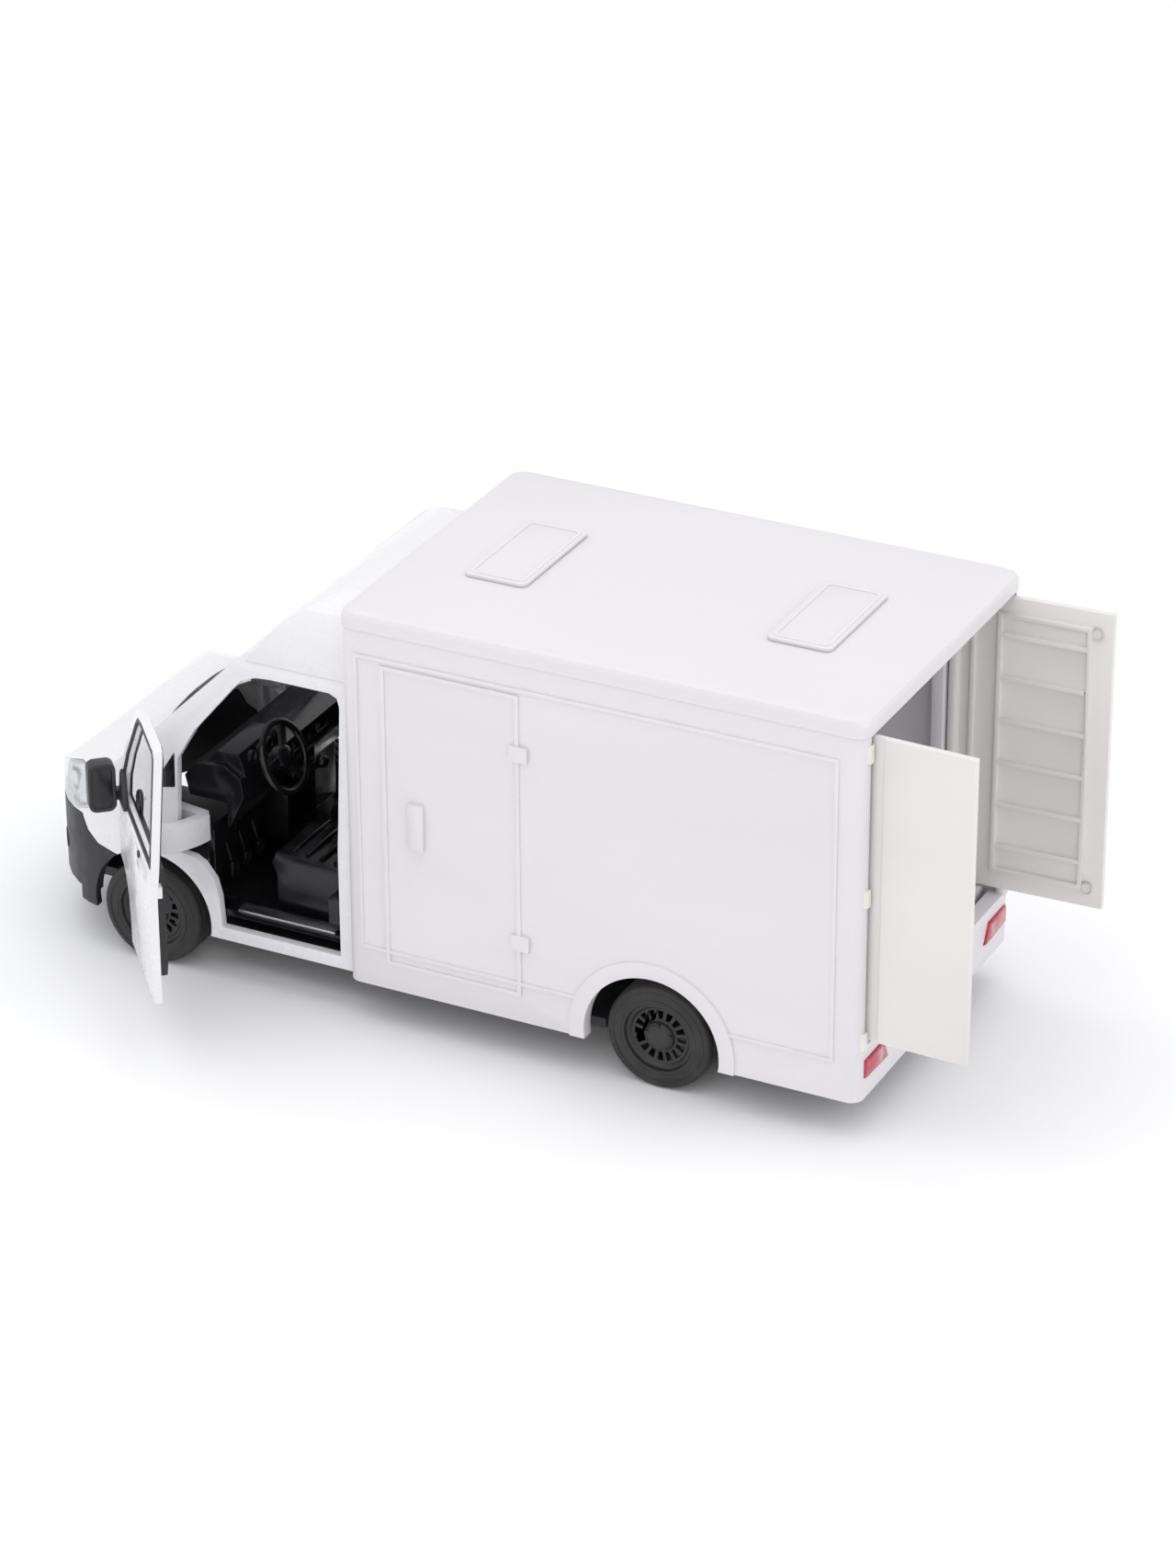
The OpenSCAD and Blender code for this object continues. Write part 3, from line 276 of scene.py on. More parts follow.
box_white = moulded_plastic("box_white", (0.775, 0.745, 0.765), (0.745, 0.72, 0.74), 0.42)
ease_edges(dress("box_body", box_white), 0.22, flatten=False)
ease_edges(dress("roof_panel", box_white), 0)
for hatch in ("roof_hatch_front", "roof_hatch_rear"):
    ease_edges(dress(hatch, box_white), 0.2)


def add_piece(name, mesh, body, material, width=0.1, segments=2, angle=38):
    """Links a new mesh into the scene, finishes it and lets it ride on a body."""
    piece = bpy.data.objects.new(name, mesh)
    scene.collection.objects.link(piece)
    mesh.materials.append(material)
    ease_edges(piece, width, segments, angle, weld=False)
    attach(piece, body)
    return piece


def plate(outline, low, high, axis="Z", holes=()):
    """A flat-sided moulding: an outline in mm pushed from low to high along an axis, with holes."""
    build = bmesh.new()
    spins = {
        "X": lambda u, v, w: (w, u, v),
        "Y": lambda u, v, w: (u, w, v),
        "Z": lambda u, v, w: (u, v, w),
    }
    spin = spins[axis]
    loops = []
    for ring in (outline, *holes):
        dots = [build.verts.new(Vector(spin(u, v, low)) * MM) for u, v in ring]
        loops += [build.edges.new((dots[i - 1], dots[i])) for i in range(len(dots))]
    bmesh.ops.triangle_fill(build, edges=loops, use_beauty=True)
    bmesh.ops.dissolve_limit(build, angle_limit=0.01, verts=build.verts, edges=build.edges)
    base = list(build.faces)
    top = bmesh.ops.extrude_face_region(build, geom=base)["geom"]
    shift = Vector(spin(0, 0, high - low)) * MM
    bmesh.ops.translate(build, vec=shift, verts=[g for g in top if isinstance(g, bmesh.types.BMVert)])
    bmesh.ops.recalc_face_normals(build, faces=build.faces)
    mesh = bpy.data.meshes.new("plate")
    build.to_mesh(mesh)
    build.free()
    return mesh


def rounded(x0, x1, y0, y1, radius, steps=4):
    """Points of a rectangle with round corners."""
    dots = []
    for cx, cy, turn in ((x1, y1, 0), (x0, y1, 90), (x0, y0, 180), (x1, y0, 270)):
        mx, my = cx + (radius if cx == x0 else -radius), cy + (radius if cy == y0 else -radius)
        for step in range(steps + 1):
            a = math.radians(turn + 90 * step / steps)
            dots.append((mx + radius * math.cos(a), my + radius * math.sin(a)))
    return dots


def in_mm(node):
    """The two corners of a CAD piece's box, in mm."""
    low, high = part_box(node)
    return low / MM, high / MM


# Each roof hatch has a raised rim with a flat field inside it, moulded with the lid.
# The mould leaves a soft round edge on both.
sunk = 0.05
rim_width, rim_rise = 0.6, 0.12
for hatch in ("roof_hatch_front", "roof_hatch_rear"):
    low, high = in_mm(hatch)
    rear, front, right_edge, left_edge = low.x + 0.5, high.x - 0.5, low.y + 0.6, high.y - 0.6
    outline = rounded(rear, front, right_edge, left_edge, 0.9)
    field = rounded(rear + rim_width, front - rim_width, right_edge + rim_width, left_edge - rim_width, 0.5)
    rim = plate(outline, high.z - sunk, high.z + rim_rise, holes=(field,))
    add_piece(hatch + "_rim", rim, "truck", box_white, 0.1)

# Cream studs cap the rear corner posts, pressed into the box beside the door hinges.
# They are the same plastic as the box, but undyed, so they look warmer.
cream_plastic = moulded_plastic("cream_plastic", (0.82, 0.79, 0.73), (0.79, 0.76, 0.70), 0.4)
box_low, box_high = in_mm("box_body")


def turned(profile, centre, axis, steps=32):
    """A turned shape: (radius, height) points spun about an axis through centre, in mm."""
    build = bmesh.new()
    base = {"X": Vector((1, 0, 0)), "Y": Vector((0, 1, 0)), "Z": Vector((0, 0, 1))}[axis]
    side = Vector((0, 0, 1)) if axis != "Z" else Vector((1, 0, 0))
    across = base.cross(side)
    rings = []
    for step in range(steps):
        a = math.radians(360 * step / steps)
        out = side * math.cos(a) + across * math.sin(a)
        rings.append([build.verts.new((Vector(centre) + out * r + base * h) * MM) for r, h in profile])
    for i, ring in enumerate(rings):
        after = rings[(i + 1) % steps]
        for j in range(len(profile) - 1):
            build.faces.new((ring[j], ring[j + 1], after[j + 1], after[j]))
    bmesh.ops.remove_doubles(build, verts=build.verts, dist=1e-7)
    bmesh.ops.recalc_face_normals(build, faces=build.faces)
    mesh = bpy.data.meshes.new("turned")
    build.to_mesh(mesh)
    build.free()
    return mesh


stud_profile = [(0, -1.3), (0.75, -1.3), (0.9, -1.1), (0.9, 1.1), (0.75, 1.3), (0, 1.3)]
for side_name, side in SIDES:
    for place, z in (("low", 9.6), ("middle", 30.6), ("high", 51.2)):
        spot = (box_low.x + 0.55, side * (box_high.y - 2.35), z)
        stud = turned(stud_profile, spot, "Z", 24)
        add_piece(f"corner_stud_{side_name}_{place}", stud, "truck", cream_plastic, 0)

# The cargo floor has raised rubbing strips along it, and the side walls have upright posts,
# all moulded with the box, so that parcels slide in without catching.
floor_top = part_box("rear_hinge_pin_left")[0].z / MM + 1.2
strip_count, strip_pitch, strip_half, strip_rise = 7, 4.4, 0.55, 0.3
for index in range(strip_count):
    y = (index - (strip_count - 1) / 2) * strip_pitch
    outline = rounded(box_low.x + 5, box_high.x - 3, y - strip_half, y + strip_half, 0.5)
    strip = plate(outline, floor_top - sunk, floor_top + strip_rise)
    add_piece(f"floor_strip_{index + 1}", strip, "truck", box_white, 0.12)
wall_y = box_high.y - 0.4 - 1.7
post_half, post_foot, post_thick = 0.7, 14.5, 0.45
for side_name, side in SIDES:
    near, far = sorted((side * (wall_y - post_thick), side * wall_y))
    for index, x in enumerate((-44, -30, -16, -2)):
        outline = rounded(x - post_half, x + post_half, post_foot, box_high.z - 0.8, 0.5)
        post = plate(outline, near, far, "Y")
        add_piece(f"wall_post_{side_name}_{index + 1}", post, "truck", box_white, 0.12)

# The rear doors are two thin mouldings on steel pins, ribbed inside, in a slightly warmer white
# than the box. Ejector pins left a round mark at the free corners of the inner face.
door_white = moulded_plastic("door_grey", (0.79, 0.765, 0.745), (0.755, 0.73, 0.71), 0.4)
mark_profile = [(0, 0.0), (0.6, 0.0), (0.65, -0.08), (0.8, -0.1), (0.85, -0.03), (0.85, 0.1)]
rib_depth, mark_inset_x, mark_inset_z = 0.95, 2.2, 3
for side_name, side in SIDES:
    node = "rear_door_" + side_name
    ease_edges(dress(node, door_white), 0.12, flatten=False)
    low, high = in_mm(node)
    inner_y = min(abs(low.y), abs(high.y))
    for place, z in (("low", low.z + mark_inset_z), ("high", high.z - mark_inset_z)):
        mark = turned(mark_profile, (low.x + mark_inset_x, side * (inner_y + rib_depth), z), "Y", 24)
        add_piece(f"ejector_mark_{side_name}_{place}", mark, node, door_white, 0)

# The cab is a zinc casting with its deflector screwed on top, sprayed in glossy white enamel.
# The enamel is thin on the edges, and shade is painted darker into the seams.
enamel = Finish("white_enamel")
rubbed = enamel.edges(0.0006) * enamel.spread(enamel.grain(500, 5), 0.52, 0.66)
cloud = enamel.spread(enamel.grain(60, 3), 0.3, 0.7)
seam_shade = enamel.painted_hollow_shade(0.0018)
enamel_tone = enamel.blend(cloud, (0.80, 0.79, 0.81), (0.835, 0.825, 0.84))
# Painted shade: the occlusion mask darkens the enamel in seams and hollows.
enamel_tone = enamel.blend(seam_shade * 0.22, enamel_tone, (0.66, 0.66, 0.68))
enamel.set(
    Base_Color=enamel.blend(rubbed * 0.12, enamel_tone, (0.70, 0.70, 0.73)),
    Roughness=enamel.spread(enamel.grain(380, 4), 0.3, 0.7, 0.20, 0.33),
    Coat_Weight=enamel.spread(enamel.grain(90, 2), 0.3, 0.7, 0.35, 0.6),
    Normal=enamel.relief(enamel.grain(700, 1) + enamel.grain(120, 2) * 2, 0.04, 0.00008),
)
enamel.set(Coat_Roughness=0.12)
white_enamel = enamel.material
ease_edges(dress("cab_shell", white_enamel), 0.3, 3)
ease_edges(dress("roof_fairing", white_enamel), 0.5, 3, 24)
for side_name, side in SIDES:
    ease_edges(dress("hinge_bracket_" + side_name, white_enamel), 0.35, 3)

# The bumper, grille, cowl, mirrors and base plate are black ABS with a fine spark-eroded grain.
# They clip into the casting from below and behind.
trim_black = moulded_plastic("trim_black", (0.030, 0.030, 0.033), (0.020, 0.020, 0.022), 0.46, 2200, 0.12)
for node, width in (
    ("front_bumper", 0.3), ("front_grille", 0.12), ("cowl_panel", 0.12), ("base_plate", 0.2),
    ("motor_case_lower", 0.15), ("motor_case_upper", 0.15),
    ("mirror_housing_left", 0.3), ("mirror_housing_right", 0.3),
):
    ease_edges(dress(node, trim_black), width, 3)

# A plain plate blank and two round fog-lamp blanks are moulded on the bumper's face.
# They are grained like the rest, and nothing is printed on them.
nose = in_mm("front_bumper")[1].x
blank_proud, blank_back = 0.04, 0.8
plate_blank = plate(rounded(-5, 5, 4.2, 6.6, 0.4), nose - blank_back, nose + blank_proud, "X")
add_piece("plate_blank", plate_blank, "truck", trim_black, 0.12)
fog_profile = [(0, 0.1), (1.0, 0.1), (1.15, 0.3), (1.4, 0.3), (1.5, 0), (1.5, -0.6), (0, -0.6)]
for side_name, side in SIDES:
    blank = turned(fog_profile, (0, 0, 0), "X", 32)
    spot = Matrix.Translation(Vector((nose - 4.3, side * 17.2, 7.4)) * MM)
    blank.transform(spot @ Matrix.Rotation(side * math.radians(35), 4, "Z"))
    add_piece("fog_lamp_blank_" + side_name, blank, "truck", trim_black, 0)

# The windscreen is a clear styrene moulding let into the casting from inside. A black seal
# runs round it, and two black wipers lie at its foot.
screen = Finish("smoked_screen")
haze = screen.spread(screen.grain(35, 3), 0.3, 0.7)
screen.set(
    Base_Color=screen.blend(haze, (0.74, 0.76, 0.79), (0.82, 0.84, 0.86)),
    Roughness=screen.spread(screen.grain(300, 3), 0.3, 0.7, 0.03, 0.08),
    Coat_Weight=screen.spread(haze, 0, 1, 0.8, 1.0),
    Alpha=screen.spread(haze, 0, 1, 0.42, 0.5),
    Normal=screen.relief(screen.grain(60, 2), 0.04, 0.0001),
)
screen.set(IOR=1.49, Specular_IOR_Level=0.7)
ease_edges(dress("windscreen", screen.material), 0.1)
screen_low, screen_high = in_mm("windscreen")
rake = Vector((1, 0, 1)).normalized()


def on_screen(along, y, proud=0.0):
    """A point on the raked screen: along is 0 at its foot and 1 at its top."""
    foot = Vector((screen_high.x, 0, screen_low.z))
    top = Vector((screen_low.x, 0, screen_high.z))
    return foot.lerp(top, along) + Vector((0, y, 0)) + rake * proud


def rod(points, radius, steps=10, closed=False):
    """A round rod swept along points in mm, with flat ends unless it closes on itself."""
    build = bmesh.new()
    count, rings = len(points), []
    turns = [2 * math.pi * step / steps for step in range(steps)]
    slant = Vector((0.31, 0.17, 0.93))
    for index, point in enumerate(points):
        before = points[index - 1] if closed or index else point
        after = points[(index + 1) % count] if closed or index < count - 1 else point
        way = (Vector(after) - Vector(before)).normalized()
        side = way.cross(slant).normalized()
        lift = way.cross(side)
        rings.append([
            build.verts.new((Vector(point) + (side * math.cos(t) + lift * math.sin(t)) * radius) * MM)
            for t in turns
        ])
    for index in range(count if closed else count - 1):
        ring, after = rings[index], rings[(index + 1) % count]
        for step in range(steps):
            beside = (step + 1) % steps
            build.faces.new((ring[step], ring[beside], after[beside], after[step]))
    if not closed:
        build.faces.new(rings[0])
        build.faces.new(rings[-1])
    bmesh.ops.recalc_face_normals(build, faces=build.faces)
    mesh = bpy.data.meshes.new("rod")
    build.to_mesh(mesh)
    build.free()
    return mesh


foot_y, top_y = screen_high.y - 0.2, screen_high.y - 1.7
stretches = (
    (0, 1, foot_y, top_y), (1, 1, top_y, -top_y), (1, 0, -top_y, -foot_y), (0, 0, -foot_y, foot_y)
)
dots_each = 8
border = []
for start, end, from_y, to_y in stretches:
    for dot in range(dots_each):
        share = dot / dots_each
        border.append(on_screen(start + (end - start) * share, from_y + (to_y - from_y) * share, -0.1))
add_piece("windscreen_seal", rod(border, 0.26, 8, True), "truck", trim_black, 0)
for name, pivot_y, reach_y in (("driver", 2.5, 15), ("passenger", -16, -3.5)):
    middle_y = (pivot_y + reach_y) / 2
    arm = [on_screen(0.02, pivot_y, 0.5), on_screen(0.03, middle_y, 0.75), on_screen(0.05, reach_y, 0.5)]
    add_piece("wiper_arm_" + name, rod(arm, 0.22), "truck", trim_black, 0)
    blade = [on_screen(0.035, pivot_y + 3, 0.28), on_screen(0.06, reach_y + 1.5, 0.28)]
    add_piece("wiper_blade_" + name, rod(blade, 0.26, 6), "truck", trim_black, 0)

# The headlights are clear fluted lenses over vacuum-metallised bowls, each with two round
# lamps. The tail lights are red blocks with a pale reversing lamp, glued into the rear sill.
lens = Finish("clear_lens")
waves = {"Vector": lens.place(), "Scale": 160, "Distortion": 0.2}
flutes = lens.node("TexWave", {"bands_direction": "Y"}, waves, "Fac")
lens.set(
    Base_Color=lens.blend(lens.grain(200), (0.85, 0.88, 0.9), (0.93, 0.95, 0.97)),
    Roughness=lens.spread(lens.grain(260), 0.3, 0.7, 0.03, 0.09),
    Alpha=lens.spread(flutes, 0, 1, 0.2, 0.36),
    Normal=lens.relief(flutes, 0.25, 0.0001),
)
lens.set(IOR=1.49)
chrome = Finish("bright_bowl")
here = chrome.place()
across, along, up = (chrome.node("SeparateXYZ", {}, {0: here}, axis) for axis in ("Y", "X", "Z"))
aside = chrome.node("Math", {"operation": "ABSOLUTE"}, {0: across})
mirrored = chrome.node("CombineXYZ", {}, {0: along, 1: aside, 2: up})
lamp_rings = 0
for centre in ((0.0568, 0.0152, 0.0176), (0.0532, 0.0196, 0.0182)):
    away = chrome.node("VectorMath", {"operation": "DISTANCE"}, {0: mirrored, 1: centre}, "Value")
    lamp_rings = lamp_rings + (chrome.spread(away, 0.0011, 0.0013) - chrome.spread(away, 0.0016, 0.0019))
bright = chrome.blend(chrome.grain(300), (0.72, 0.72, 0.74), (0.86, 0.86, 0.88))
chrome.set(
    Base_Color=chrome.blend(lamp_rings, bright, (0.03, 0.03, 0.035)),
    Roughness=chrome.spread(chrome.grain(420, 4), 0.3, 0.7, 0.08, 0.2),
    Metallic=1.0,
    Normal=chrome.relief(chrome.grain(500), 0.08, 0.0001),
)
red = Finish("red_lamp")
cells = red.node("TexVoronoi", {"feature": "F1"}, {"Vector": red.place(), "Scale": 1100}, "Distance")
red.set(
    Base_Color=red.blend(red.spread(cells, 0.1, 0.6), (0.62, 0.05, 0.10), (0.46, 0.02, 0.06)),
    Roughness=red.spread(red.grain(500), 0.3, 0.7, 0.18, 0.3),
    Normal=red.relief(cells, 0.3, 0.00012),
)
red.set(Coat_Weight=0.6)
for side_name, side in SIDES:
    ease_edges(dress("headlight_lens_" + side_name, lens.material), 0.15)
    ease_edges(dress("headlight_bowl_" + side_name, chrome.material), 0.15)
    ease_edges(dress("tail_light_" + side_name, red.material), 0.18)
    low, high = in_mm("tail_light_" + side_name)
    inner = min(abs(low.y), abs(high.y))
    near, far = sorted((side * (inner + 1.7), side * (inner + 3.6)))
    pale = plate(rounded(near, far, low.z + 0.5, high.z - 0.4, 0.25), low.x - 0.02, low.x + 0.4, "X")
    add_piece("reversing_lamp_" + side_name, pale, "truck", lens.material, 0.08)

# The cab's interior is a set of glossy black styrene mouldings: tub, seats, dash and wheel,
# pushed together on pegs and held by the screw from below.
inside_black = moulded_plastic("inside_black", (0.010, 0.010, 0.012), (0.006, 0.006, 0.007), 0.2, 1200, 0.04)
for node in (
    "cab_tub", "dashboard", "steering_column", "steering_wheel", "driver_seat", "passenger_seat",
    "gear_lever", "door_catch_left", "door_catch_right", "door_lining_left", "door_lining_right",
):
    ease_edges(dress(node, inside_black), 0.3 if "seat" in node or "lining" in node else 0.15, 3)

# The dash carries three round dials and a radio slab with four keys, and the pedals hang from
# the firewall. All of it is the same glossy black styrene.


def black_piece(name, mesh, body="truck", width=0):
    """A glossy black piece of the interior."""
    add_piece(name, mesh, body, inside_black, width)


dash_rear = in_mm("dashboard")[0].x
firewall = in_mm("cab_tub")[1].x
wheel_low, wheel_high = in_mm("steering_wheel")
hub = (wheel_low + wheel_high) / 2
rake_back = math.radians(68)
facing = Vector((-math.sin(rake_back), 0, math.cos(rake_back)))
hub_pad = turned([(0, 0.75), (1.1, 0.72), (1.5, 0.5), (1.6, 0.1), (0, 0.1)], (0, 0, 0), "Z", 32)
hub_pad.transform(Matrix.Translation(hub * MM) @ facing.to_track_quat("Z", "Y").to_matrix().to_4x4())
black_piece("wheel_hub_pad", hub_pad)
dial_profile = [(0, -0.25), (0.7, -0.25), (0.8, -0.42), (1.0, -0.42), (1.05, 0.3), (0, 0.3)]
dial_pitch, dial_z = 2.3, 24.3
for index, y in enumerate((hub.y - dial_pitch, hub.y, hub.y + dial_pitch)):
    black_piece(f"dash_dial_{index + 1}", turned(dial_profile, (dash_rear + 0.9, y, dial_z), "X", 28))
radio = plate(rounded(-3, 3, 16.2, 19, 0.4), dash_rear + 0.2, dash_rear + 1.6, "X")
black_piece("dash_radio", radio, width=0.2)
key_pitch = 1.4
for index in range(4):
    key_y = -2.6 + index * key_pitch
    key = plate(rounded(key_y, key_y + 1, 16.7, 17.3, 0.2), dash_rear, dash_rear + 0.4, "X")
    black_piece(f"radio_key_{index + 1}", key, width=0.08)
pedal_half, pedal_foot, pedal_top = 0.9, 5.4, 7.8
for index, y in enumerate((6.6, 10.2, 13.8)):
    outline = rounded(y - pedal_half, y + pedal_half, pedal_foot, pedal_top, 0.4)
    black_piece(f"pedal_{index + 1}", plate(outline, firewall - 2.4, firewall - 1.8, "X"), width=0.15)
    black_piece(f"pedal_stalk_{index + 1}", rod([(firewall - 1.9, y, 7), (firewall - 0.9, y, 10.5)], 0.3))

# Each seat has welts across its cushion and backrest, where the mould imitates sewn channels.
# A belt strap hangs beside each backrest.
seat_rear = in_mm("driver_seat")[0].x


def welt(name, x, z, bow_x, bow_z, radius):
    """A cord across a seat, its middle standing out a little."""
    dots = [(x, middle - half, z), (x + bow_x, middle, z + bow_z), (x, middle + half, z)]
    black_piece(name, rod(dots, radius))


for name in ("driver", "passenger"):
    low, high = in_mm(name + "_seat")
    middle, half = (low.y + high.y) / 2, (high.y - low.y) / 2 - 1.1
    for index in range(4):
        x, z = low.x + 3.4 + index * 2.2, 12.45 + 0.06 * index
        welt(f"{name}_cushion_welt_{index + 1}", x, z, 0, 0.17, 0.32)
    for index in range(5):
        z = 15.5 + index * 3
        welt(f"{name}_back_welt_{index + 1}", low.x + 2.55 - (z - 12.2) * 0.053, z, 0.12, 0, 0.3)
for side_name, side in SIDES:
    strap = rod([(seat_rear + 0.9, side * 17.6, z) for z in (8, 20, 33)], 0.45, 6)
    black_piece("seat_belt_" + side_name, strap)

# The axles, hinge pins and screws are drawn steel wire. The tread plates are the same bright
# metal, pressed thin and tucked under the tub's edge.
steel = Finish("drawn_steel")
scratch = steel.grain(900, 3, stretch=(0.08, 1, 1))
steel.set(
    Base_Color=steel.blend(steel.spread(scratch, 0.3, 0.7), (0.50, 0.50, 0.52), (0.68, 0.68, 0.70)),
    Roughness=steel.spread(scratch, 0.3, 0.7, 0.24, 0.42), Metallic=1.0,
    Normal=steel.relief(scratch, 0.1, 0.0001),
)
for node in (
    "base_screws", "cab_hinge_pin_left", "cab_hinge_pin_right", "rear_hinge_pin_left",
    "rear_hinge_pin_right", "front_axle", "rear_axle", "sill_plate_left", "sill_plate_right",
):
    ease_edges(dress(node, steel.material), 0.06)

# The cab doors are enamelled castings that swing on a gooseneck inside the fender. Their black
# linings, window seals and mirrors are plastic, pressed on.
for side_name, side in SIDES:
    ease_edges(dress("cab_door_" + side_name, white_enamel), 0.28, 3)
    ease_edges(dress("mirror_glass_" + side_name, inside_black), 0.06)

joints = frame["record"]["behaviour"]["joints"]
left_hinge = next(joint for joint in joints if joint["name"] == "cab_door_left_hinge")
door_pin = Vector(left_hinge["pos_m"])
door_open = math.radians(49)
axle_low, axle_high = in_mm("front_axle")
axle_x = (axle_low.x + axle_high.x) / 2
door_low, door_high = in_mm("cab_door_right")
door_rear, door_front, door_top = door_low.x, axle_x - 5.2, door_high.z
belt = in_mm("door_lining_right")[1].z + 0.8
skin_y = in_mm("cab_shell")[1].y
belt_curve, belt_lean, top_lean, roof_rise = 4.4, 0.4, 1.3, 1.4


def skin_at(z):
    """The outer face of a cab side at a height, in mm: upright low down, leaning in above the belt."""
    if z < belt - belt_curve:
        return skin_y
    if z < belt:
        return skin_y - belt_lean * (z - belt + belt_curve) / belt_curve
    return skin_y - belt_lean - top_lean * (z - belt) / (door_top + roof_rise - belt)


def on_skin(outline, low, high, holes=()):
    """A plate that follows the leaning cab side, from low to high mm outside its face."""
    mesh = plate(outline, low, high, "Y", holes)
    for dot in mesh.vertices:
        dot.co.y += skin_at(dot.co.z / MM) * MM
    return mesh


def grown(outline, by):
    """The outline moved outwards by a distance, its edges kept parallel."""
    turn = sum(a[0] * b[1] - b[0] * a[1] for a, b in zip(outline, outline[1:] + outline[:1]))
    by = by if turn > 0 else -by
    count, moved = len(outline), []
    for index in range(count):
        here = Vector(outline[index])
        before = (here - Vector(outline[index - 1])).normalized()
        after = (Vector(outline[(index + 1) % count]) - here).normalized()
        first, second = Vector((before.y, -before.x)), Vector((after.y, -after.x))
        middle = (first + second).normalized()
        moved.append(tuple(here + middle * by / max(0.3, middle.dot(first))))
    return moved


def stand(mesh, side, on_door=True):
    """Moves a piece drawn on the closed left door or fender to its own side, open where it is open."""
    if side == LEFT and on_door:
        swing = Matrix.Rotation(-door_open, 4, "Z")
        mesh.transform(Matrix.Translation(door_pin) @ swing @ Matrix.Translation(-door_pin))
    if side == RIGHT:
        mesh.transform(Matrix.Scale(-1, 4, (0, 1, 0)))
        mesh.flip_normals()
    return mesh


window = [
    (door_rear + 1.5, belt), (door_front - 1.7, belt), (door_front - 1.7, belt + 3),
    (door_front - 4.2, belt + 7.4), (axle_x - 14.9, door_top - 3.4), (axle_x - 16.5, door_top - 1.9),
    (axle_x - 19.1, door_top - 1.5), (door_rear + 2.1, door_top - 1.5), (door_rear + 1.5, door_top - 2.3),
]
foot_outline = [
    (door_front - 1.5, belt - 0.7), (door_front - 5.4, belt - 0.7), (door_front - 5.2, belt),
    (door_front - 1.9, belt + 4.2), (door_front - 1.4, belt + 3.4),
]
knob_x, knob_z, knob_r = door_front - 6, belt + 1.3, 1.4
knob_turns = [math.radians(degrees) for degrees in range(0, 181, 20)]
knob_arc = [(knob_x - knob_r * math.cos(a), knob_z + knob_r * math.sin(a)) for a in knob_turns]
knob_outline = [(knob_x - knob_r, belt - 1.2), *knob_arc, (knob_x + knob_r, belt - 1.2)]
lock_profile = [(0, 0), (0.35, 0), (0.4, 0.08), (0.6, 0.08), (0.66, 0), (0.66, -0.3), (0, -0.3)]
speaker_profile = [
    (0, -0.1), (0.5, -0.28), (0.9, -0.1), (1.2, -0.28), (1.5, -0.1), (1.8, -0.28), (2.1, -0.1),
    (2.35, -0.34), (2.6, -0.1), (2.6, 0.3), (0, 0.3),
]
bolt_profile = [(0, -0.22), (0.28, -0.22), (0.42, -0.08), (0.42, 0.2), (0, 0.2)]
bolt_spots = ((3.4, 12.6), (17.8, 12.4), (17.8, 20.4), (3.6, 21))
peg_profile = [(0, -0.9), (0.3, -0.9), (0.42, -0.75), (0.42, 0.6), (0, 0.6)]
lining_y = skin_y - 2.3
for side_name, side in SIDES:
    node = "cab_door_" + side_name
    seal = on_skin(grown(window, 0.4), -0.3, 0.1, holes=(grown(window, -0.12),))
    add_piece("window_seal_" + side_name, stand(seal, side), node, trim_black, 0.06)
    trim = on_skin(grown(window, 0.85), -1.3, -0.98, holes=(grown(window, -0.2),))
    black_piece("window_trim_" + side_name, stand(trim, side), node, 0.08)
    foot = on_skin(foot_outline, -0.3, 0.55)
    add_piece("mirror_foot_" + side_name, stand(foot, side), node, trim_black, 0.2)
    lock = turned(lock_profile, (door_rear + 9.2, skin_at(21) + 0.08, 21.05), "Y", 24)
    add_piece("door_lock_" + side_name, stand(lock, side), node, trim_black, 0)
    speaker = turned(speaker_profile, (door_rear + 15, lining_y, 9.4), "Y", 40)
    black_piece("door_speaker_" + side_name, stand(speaker, side), node)
    pull_outline = rounded(door_rear + 5, door_rear + 8.6, 18.6, 20.2, 0.7)
    pull = plate(pull_outline, lining_y - 0.5, lining_y + 0.2, "Y")
    black_piece("door_pull_" + side_name, stand(pull, side), node, 0.2)
    for index, (x, z) in enumerate(bolt_spots):
        bolt = turned(bolt_profile, (door_rear + x, lining_y, z), "Y", 12)
        black_piece(f"lining_bolt_{side_name}_{index + 1}", stand(bolt, side), node)
    knob = on_skin(knob_outline, -1.9, -1.2)
    black_piece("mirror_knob_" + side_name, stand(knob, side), node, 0.25)
    peg = turned(peg_profile, (door_front - 4.7, skin_at(belt) - 1.9, belt + 0.9), "Y", 20)
    add_piece("lock_peg_" + side_name, stand(peg, side), node, white_enamel, 0)

# A fixed black quarter light fills the corner between the door and the windscreen post.
# It is a thin plate of the interior's plastic, pressed in from outside.
pane_outline = [
    (door_front + 0.85, belt - 0.7), (door_front + 3.6, belt - 1.3),
    (door_front + 3.2, belt + 0.8), (door_front + 0.95, belt + 4.4),
]
for side_name, side in SIDES:
    pane = on_skin(pane_outline, -0.1, 0.1)
    black_piece("quarter_light_" + side_name, stand(pane, side, False), width=0.08)

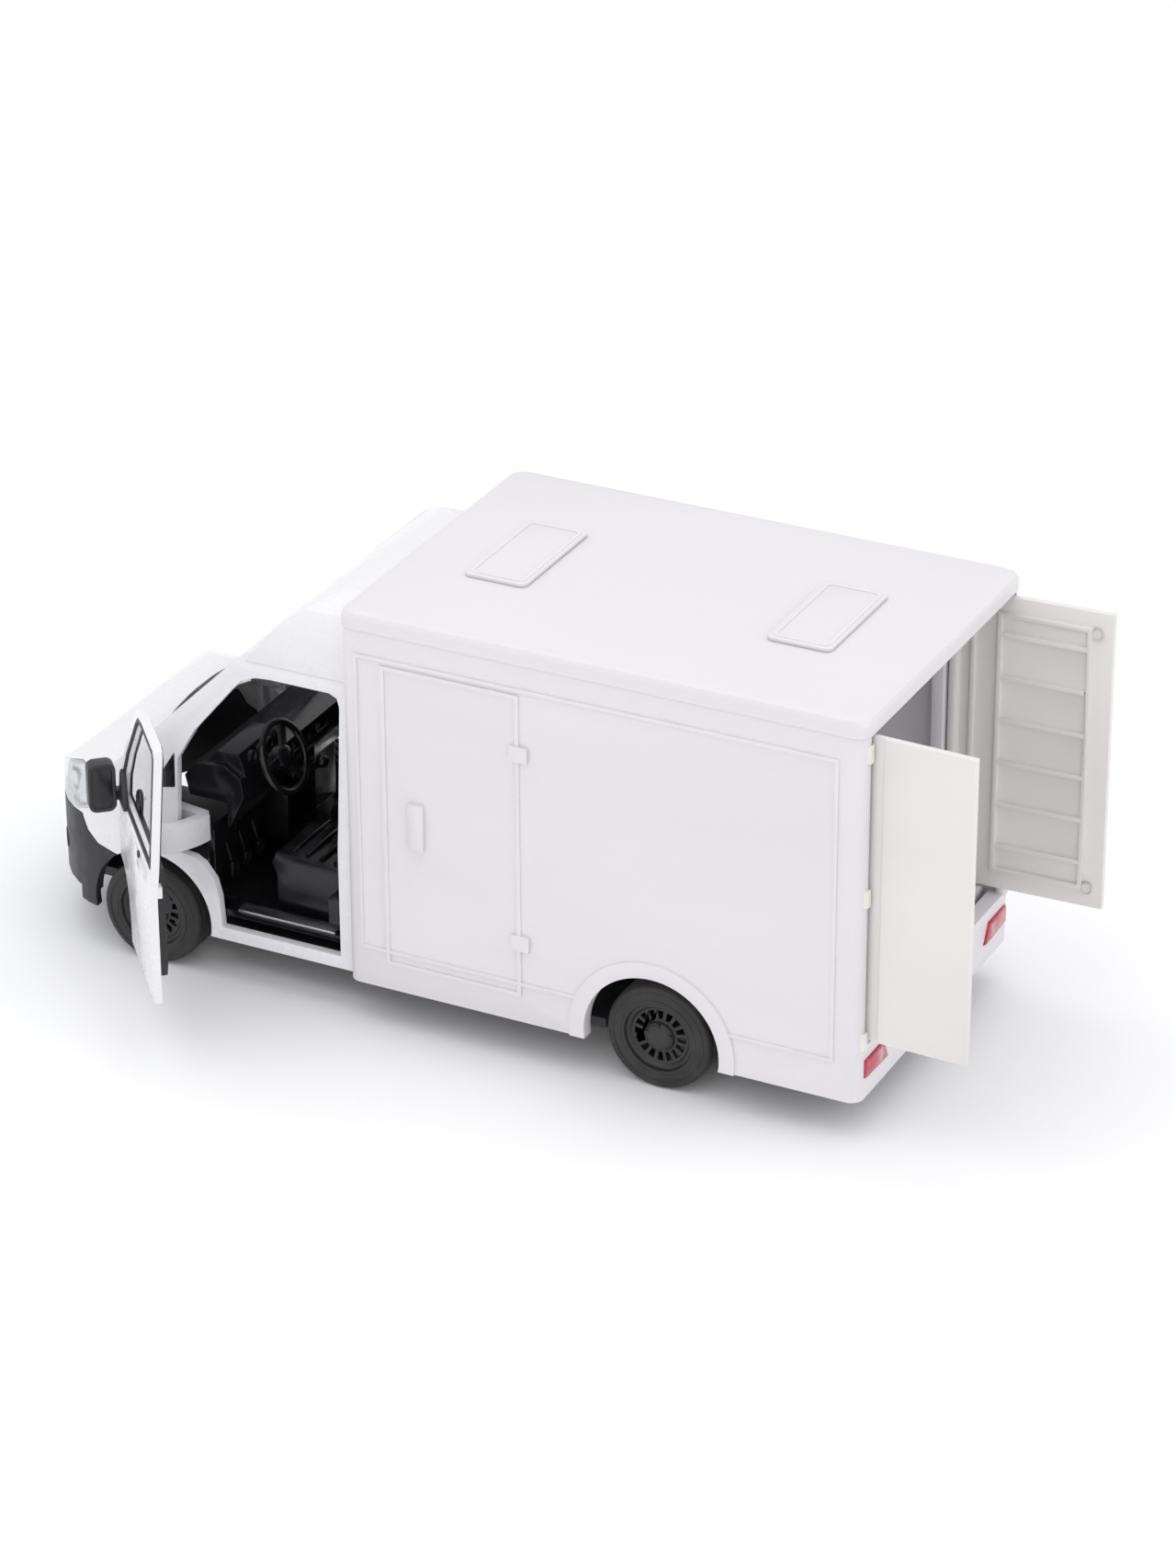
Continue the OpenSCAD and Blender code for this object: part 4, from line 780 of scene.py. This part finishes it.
# The wheels are soft PVC tyres pressed on hard black rims with a ring of vent slots.
# Sidewall rings and wheel nuts come from the mould.
rubber = Finish("tyre_rubber")
dusty = rubber.spread(rubber.grain(240, 5), 0.45, 0.75)
rubber.set(
    Base_Color=rubber.blend(dusty, (0.022, 0.020, 0.020), (0.050, 0.047, 0.045)),
    Roughness=rubber.spread(dusty, 0, 1, 0.62, 0.82),
    Normal=rubber.relief(rubber.grain(1500, 3), 0.2, 0.0001),
)
rim_black = moulded_plastic("rim_black", (0.026, 0.025, 0.026), (0.016, 0.016, 0.016), 0.38, 1600, 0.15)
nut_count, nut_circle = 5, 1.75
for end in ("front", "rear"):
    for side_name, side in SIDES:
        ease_edges(dress(f"{end}_tyre_{side_name}", rubber.material), 0.12)
        ease_edges(dress(f"{end}_rim_{side_name}", rim_black), 0.08)
        low, high = in_mm(f"{end}_tyre_{side_name}")
        outer_y = side * max(abs(low.y), abs(high.y))
        centre = ((low.x + high.x) / 2, outer_y, (low.z + high.z) / 2)
        body = end + "_wheels"
        for ring, radius in (("inner", 5.5), ("outer", 6.6)):
            root, crest = -side * 0.3, side * 0.07
            bead_profile = [
                (radius - 0.16, root), (radius - 0.1, crest), (radius + 0.1, crest), (radius + 0.16, root)
            ]
            bead = turned(bead_profile, centre, "Y", 64)
            add_piece(f"{end}_{side_name}_tyre_ring_{ring}", bead, body, rubber.material, 0)
        nut_profile = [(0, 0.42), (0.2, 0.42), (0.3, 0.3), (0.3, -0.3), (0, -0.3)]
        nut_profile = [(radius, side * height) for radius, height in nut_profile]
        for index in range(nut_count):
            turn = math.radians(360 / nut_count * index + 18)
            x, z = centre[0] + nut_circle * math.cos(turn), centre[2] + nut_circle * math.sin(turn)
            nut = turned(nut_profile, (x, outer_y - side * 0.42, z), "Y", 6)
            add_piece(f"{end}_{side_name}_wheel_nut_{index + 1}", nut, body, rim_black, 0)

# The motor's pinion and spring gear are undyed nylon, cut from bar and pressed on steel.
# They sit inside the case, and their finish paints the same shade into their hollows as the other mouldings.
nylon = moulded_plastic("gear_nylon", (0.72, 0.66, 0.50), (0.66, 0.60, 0.45), 0.5)
for node in ("axle_pinion", "spring_gear"):
    ease_edges(dress(node, nylon), 0.04)
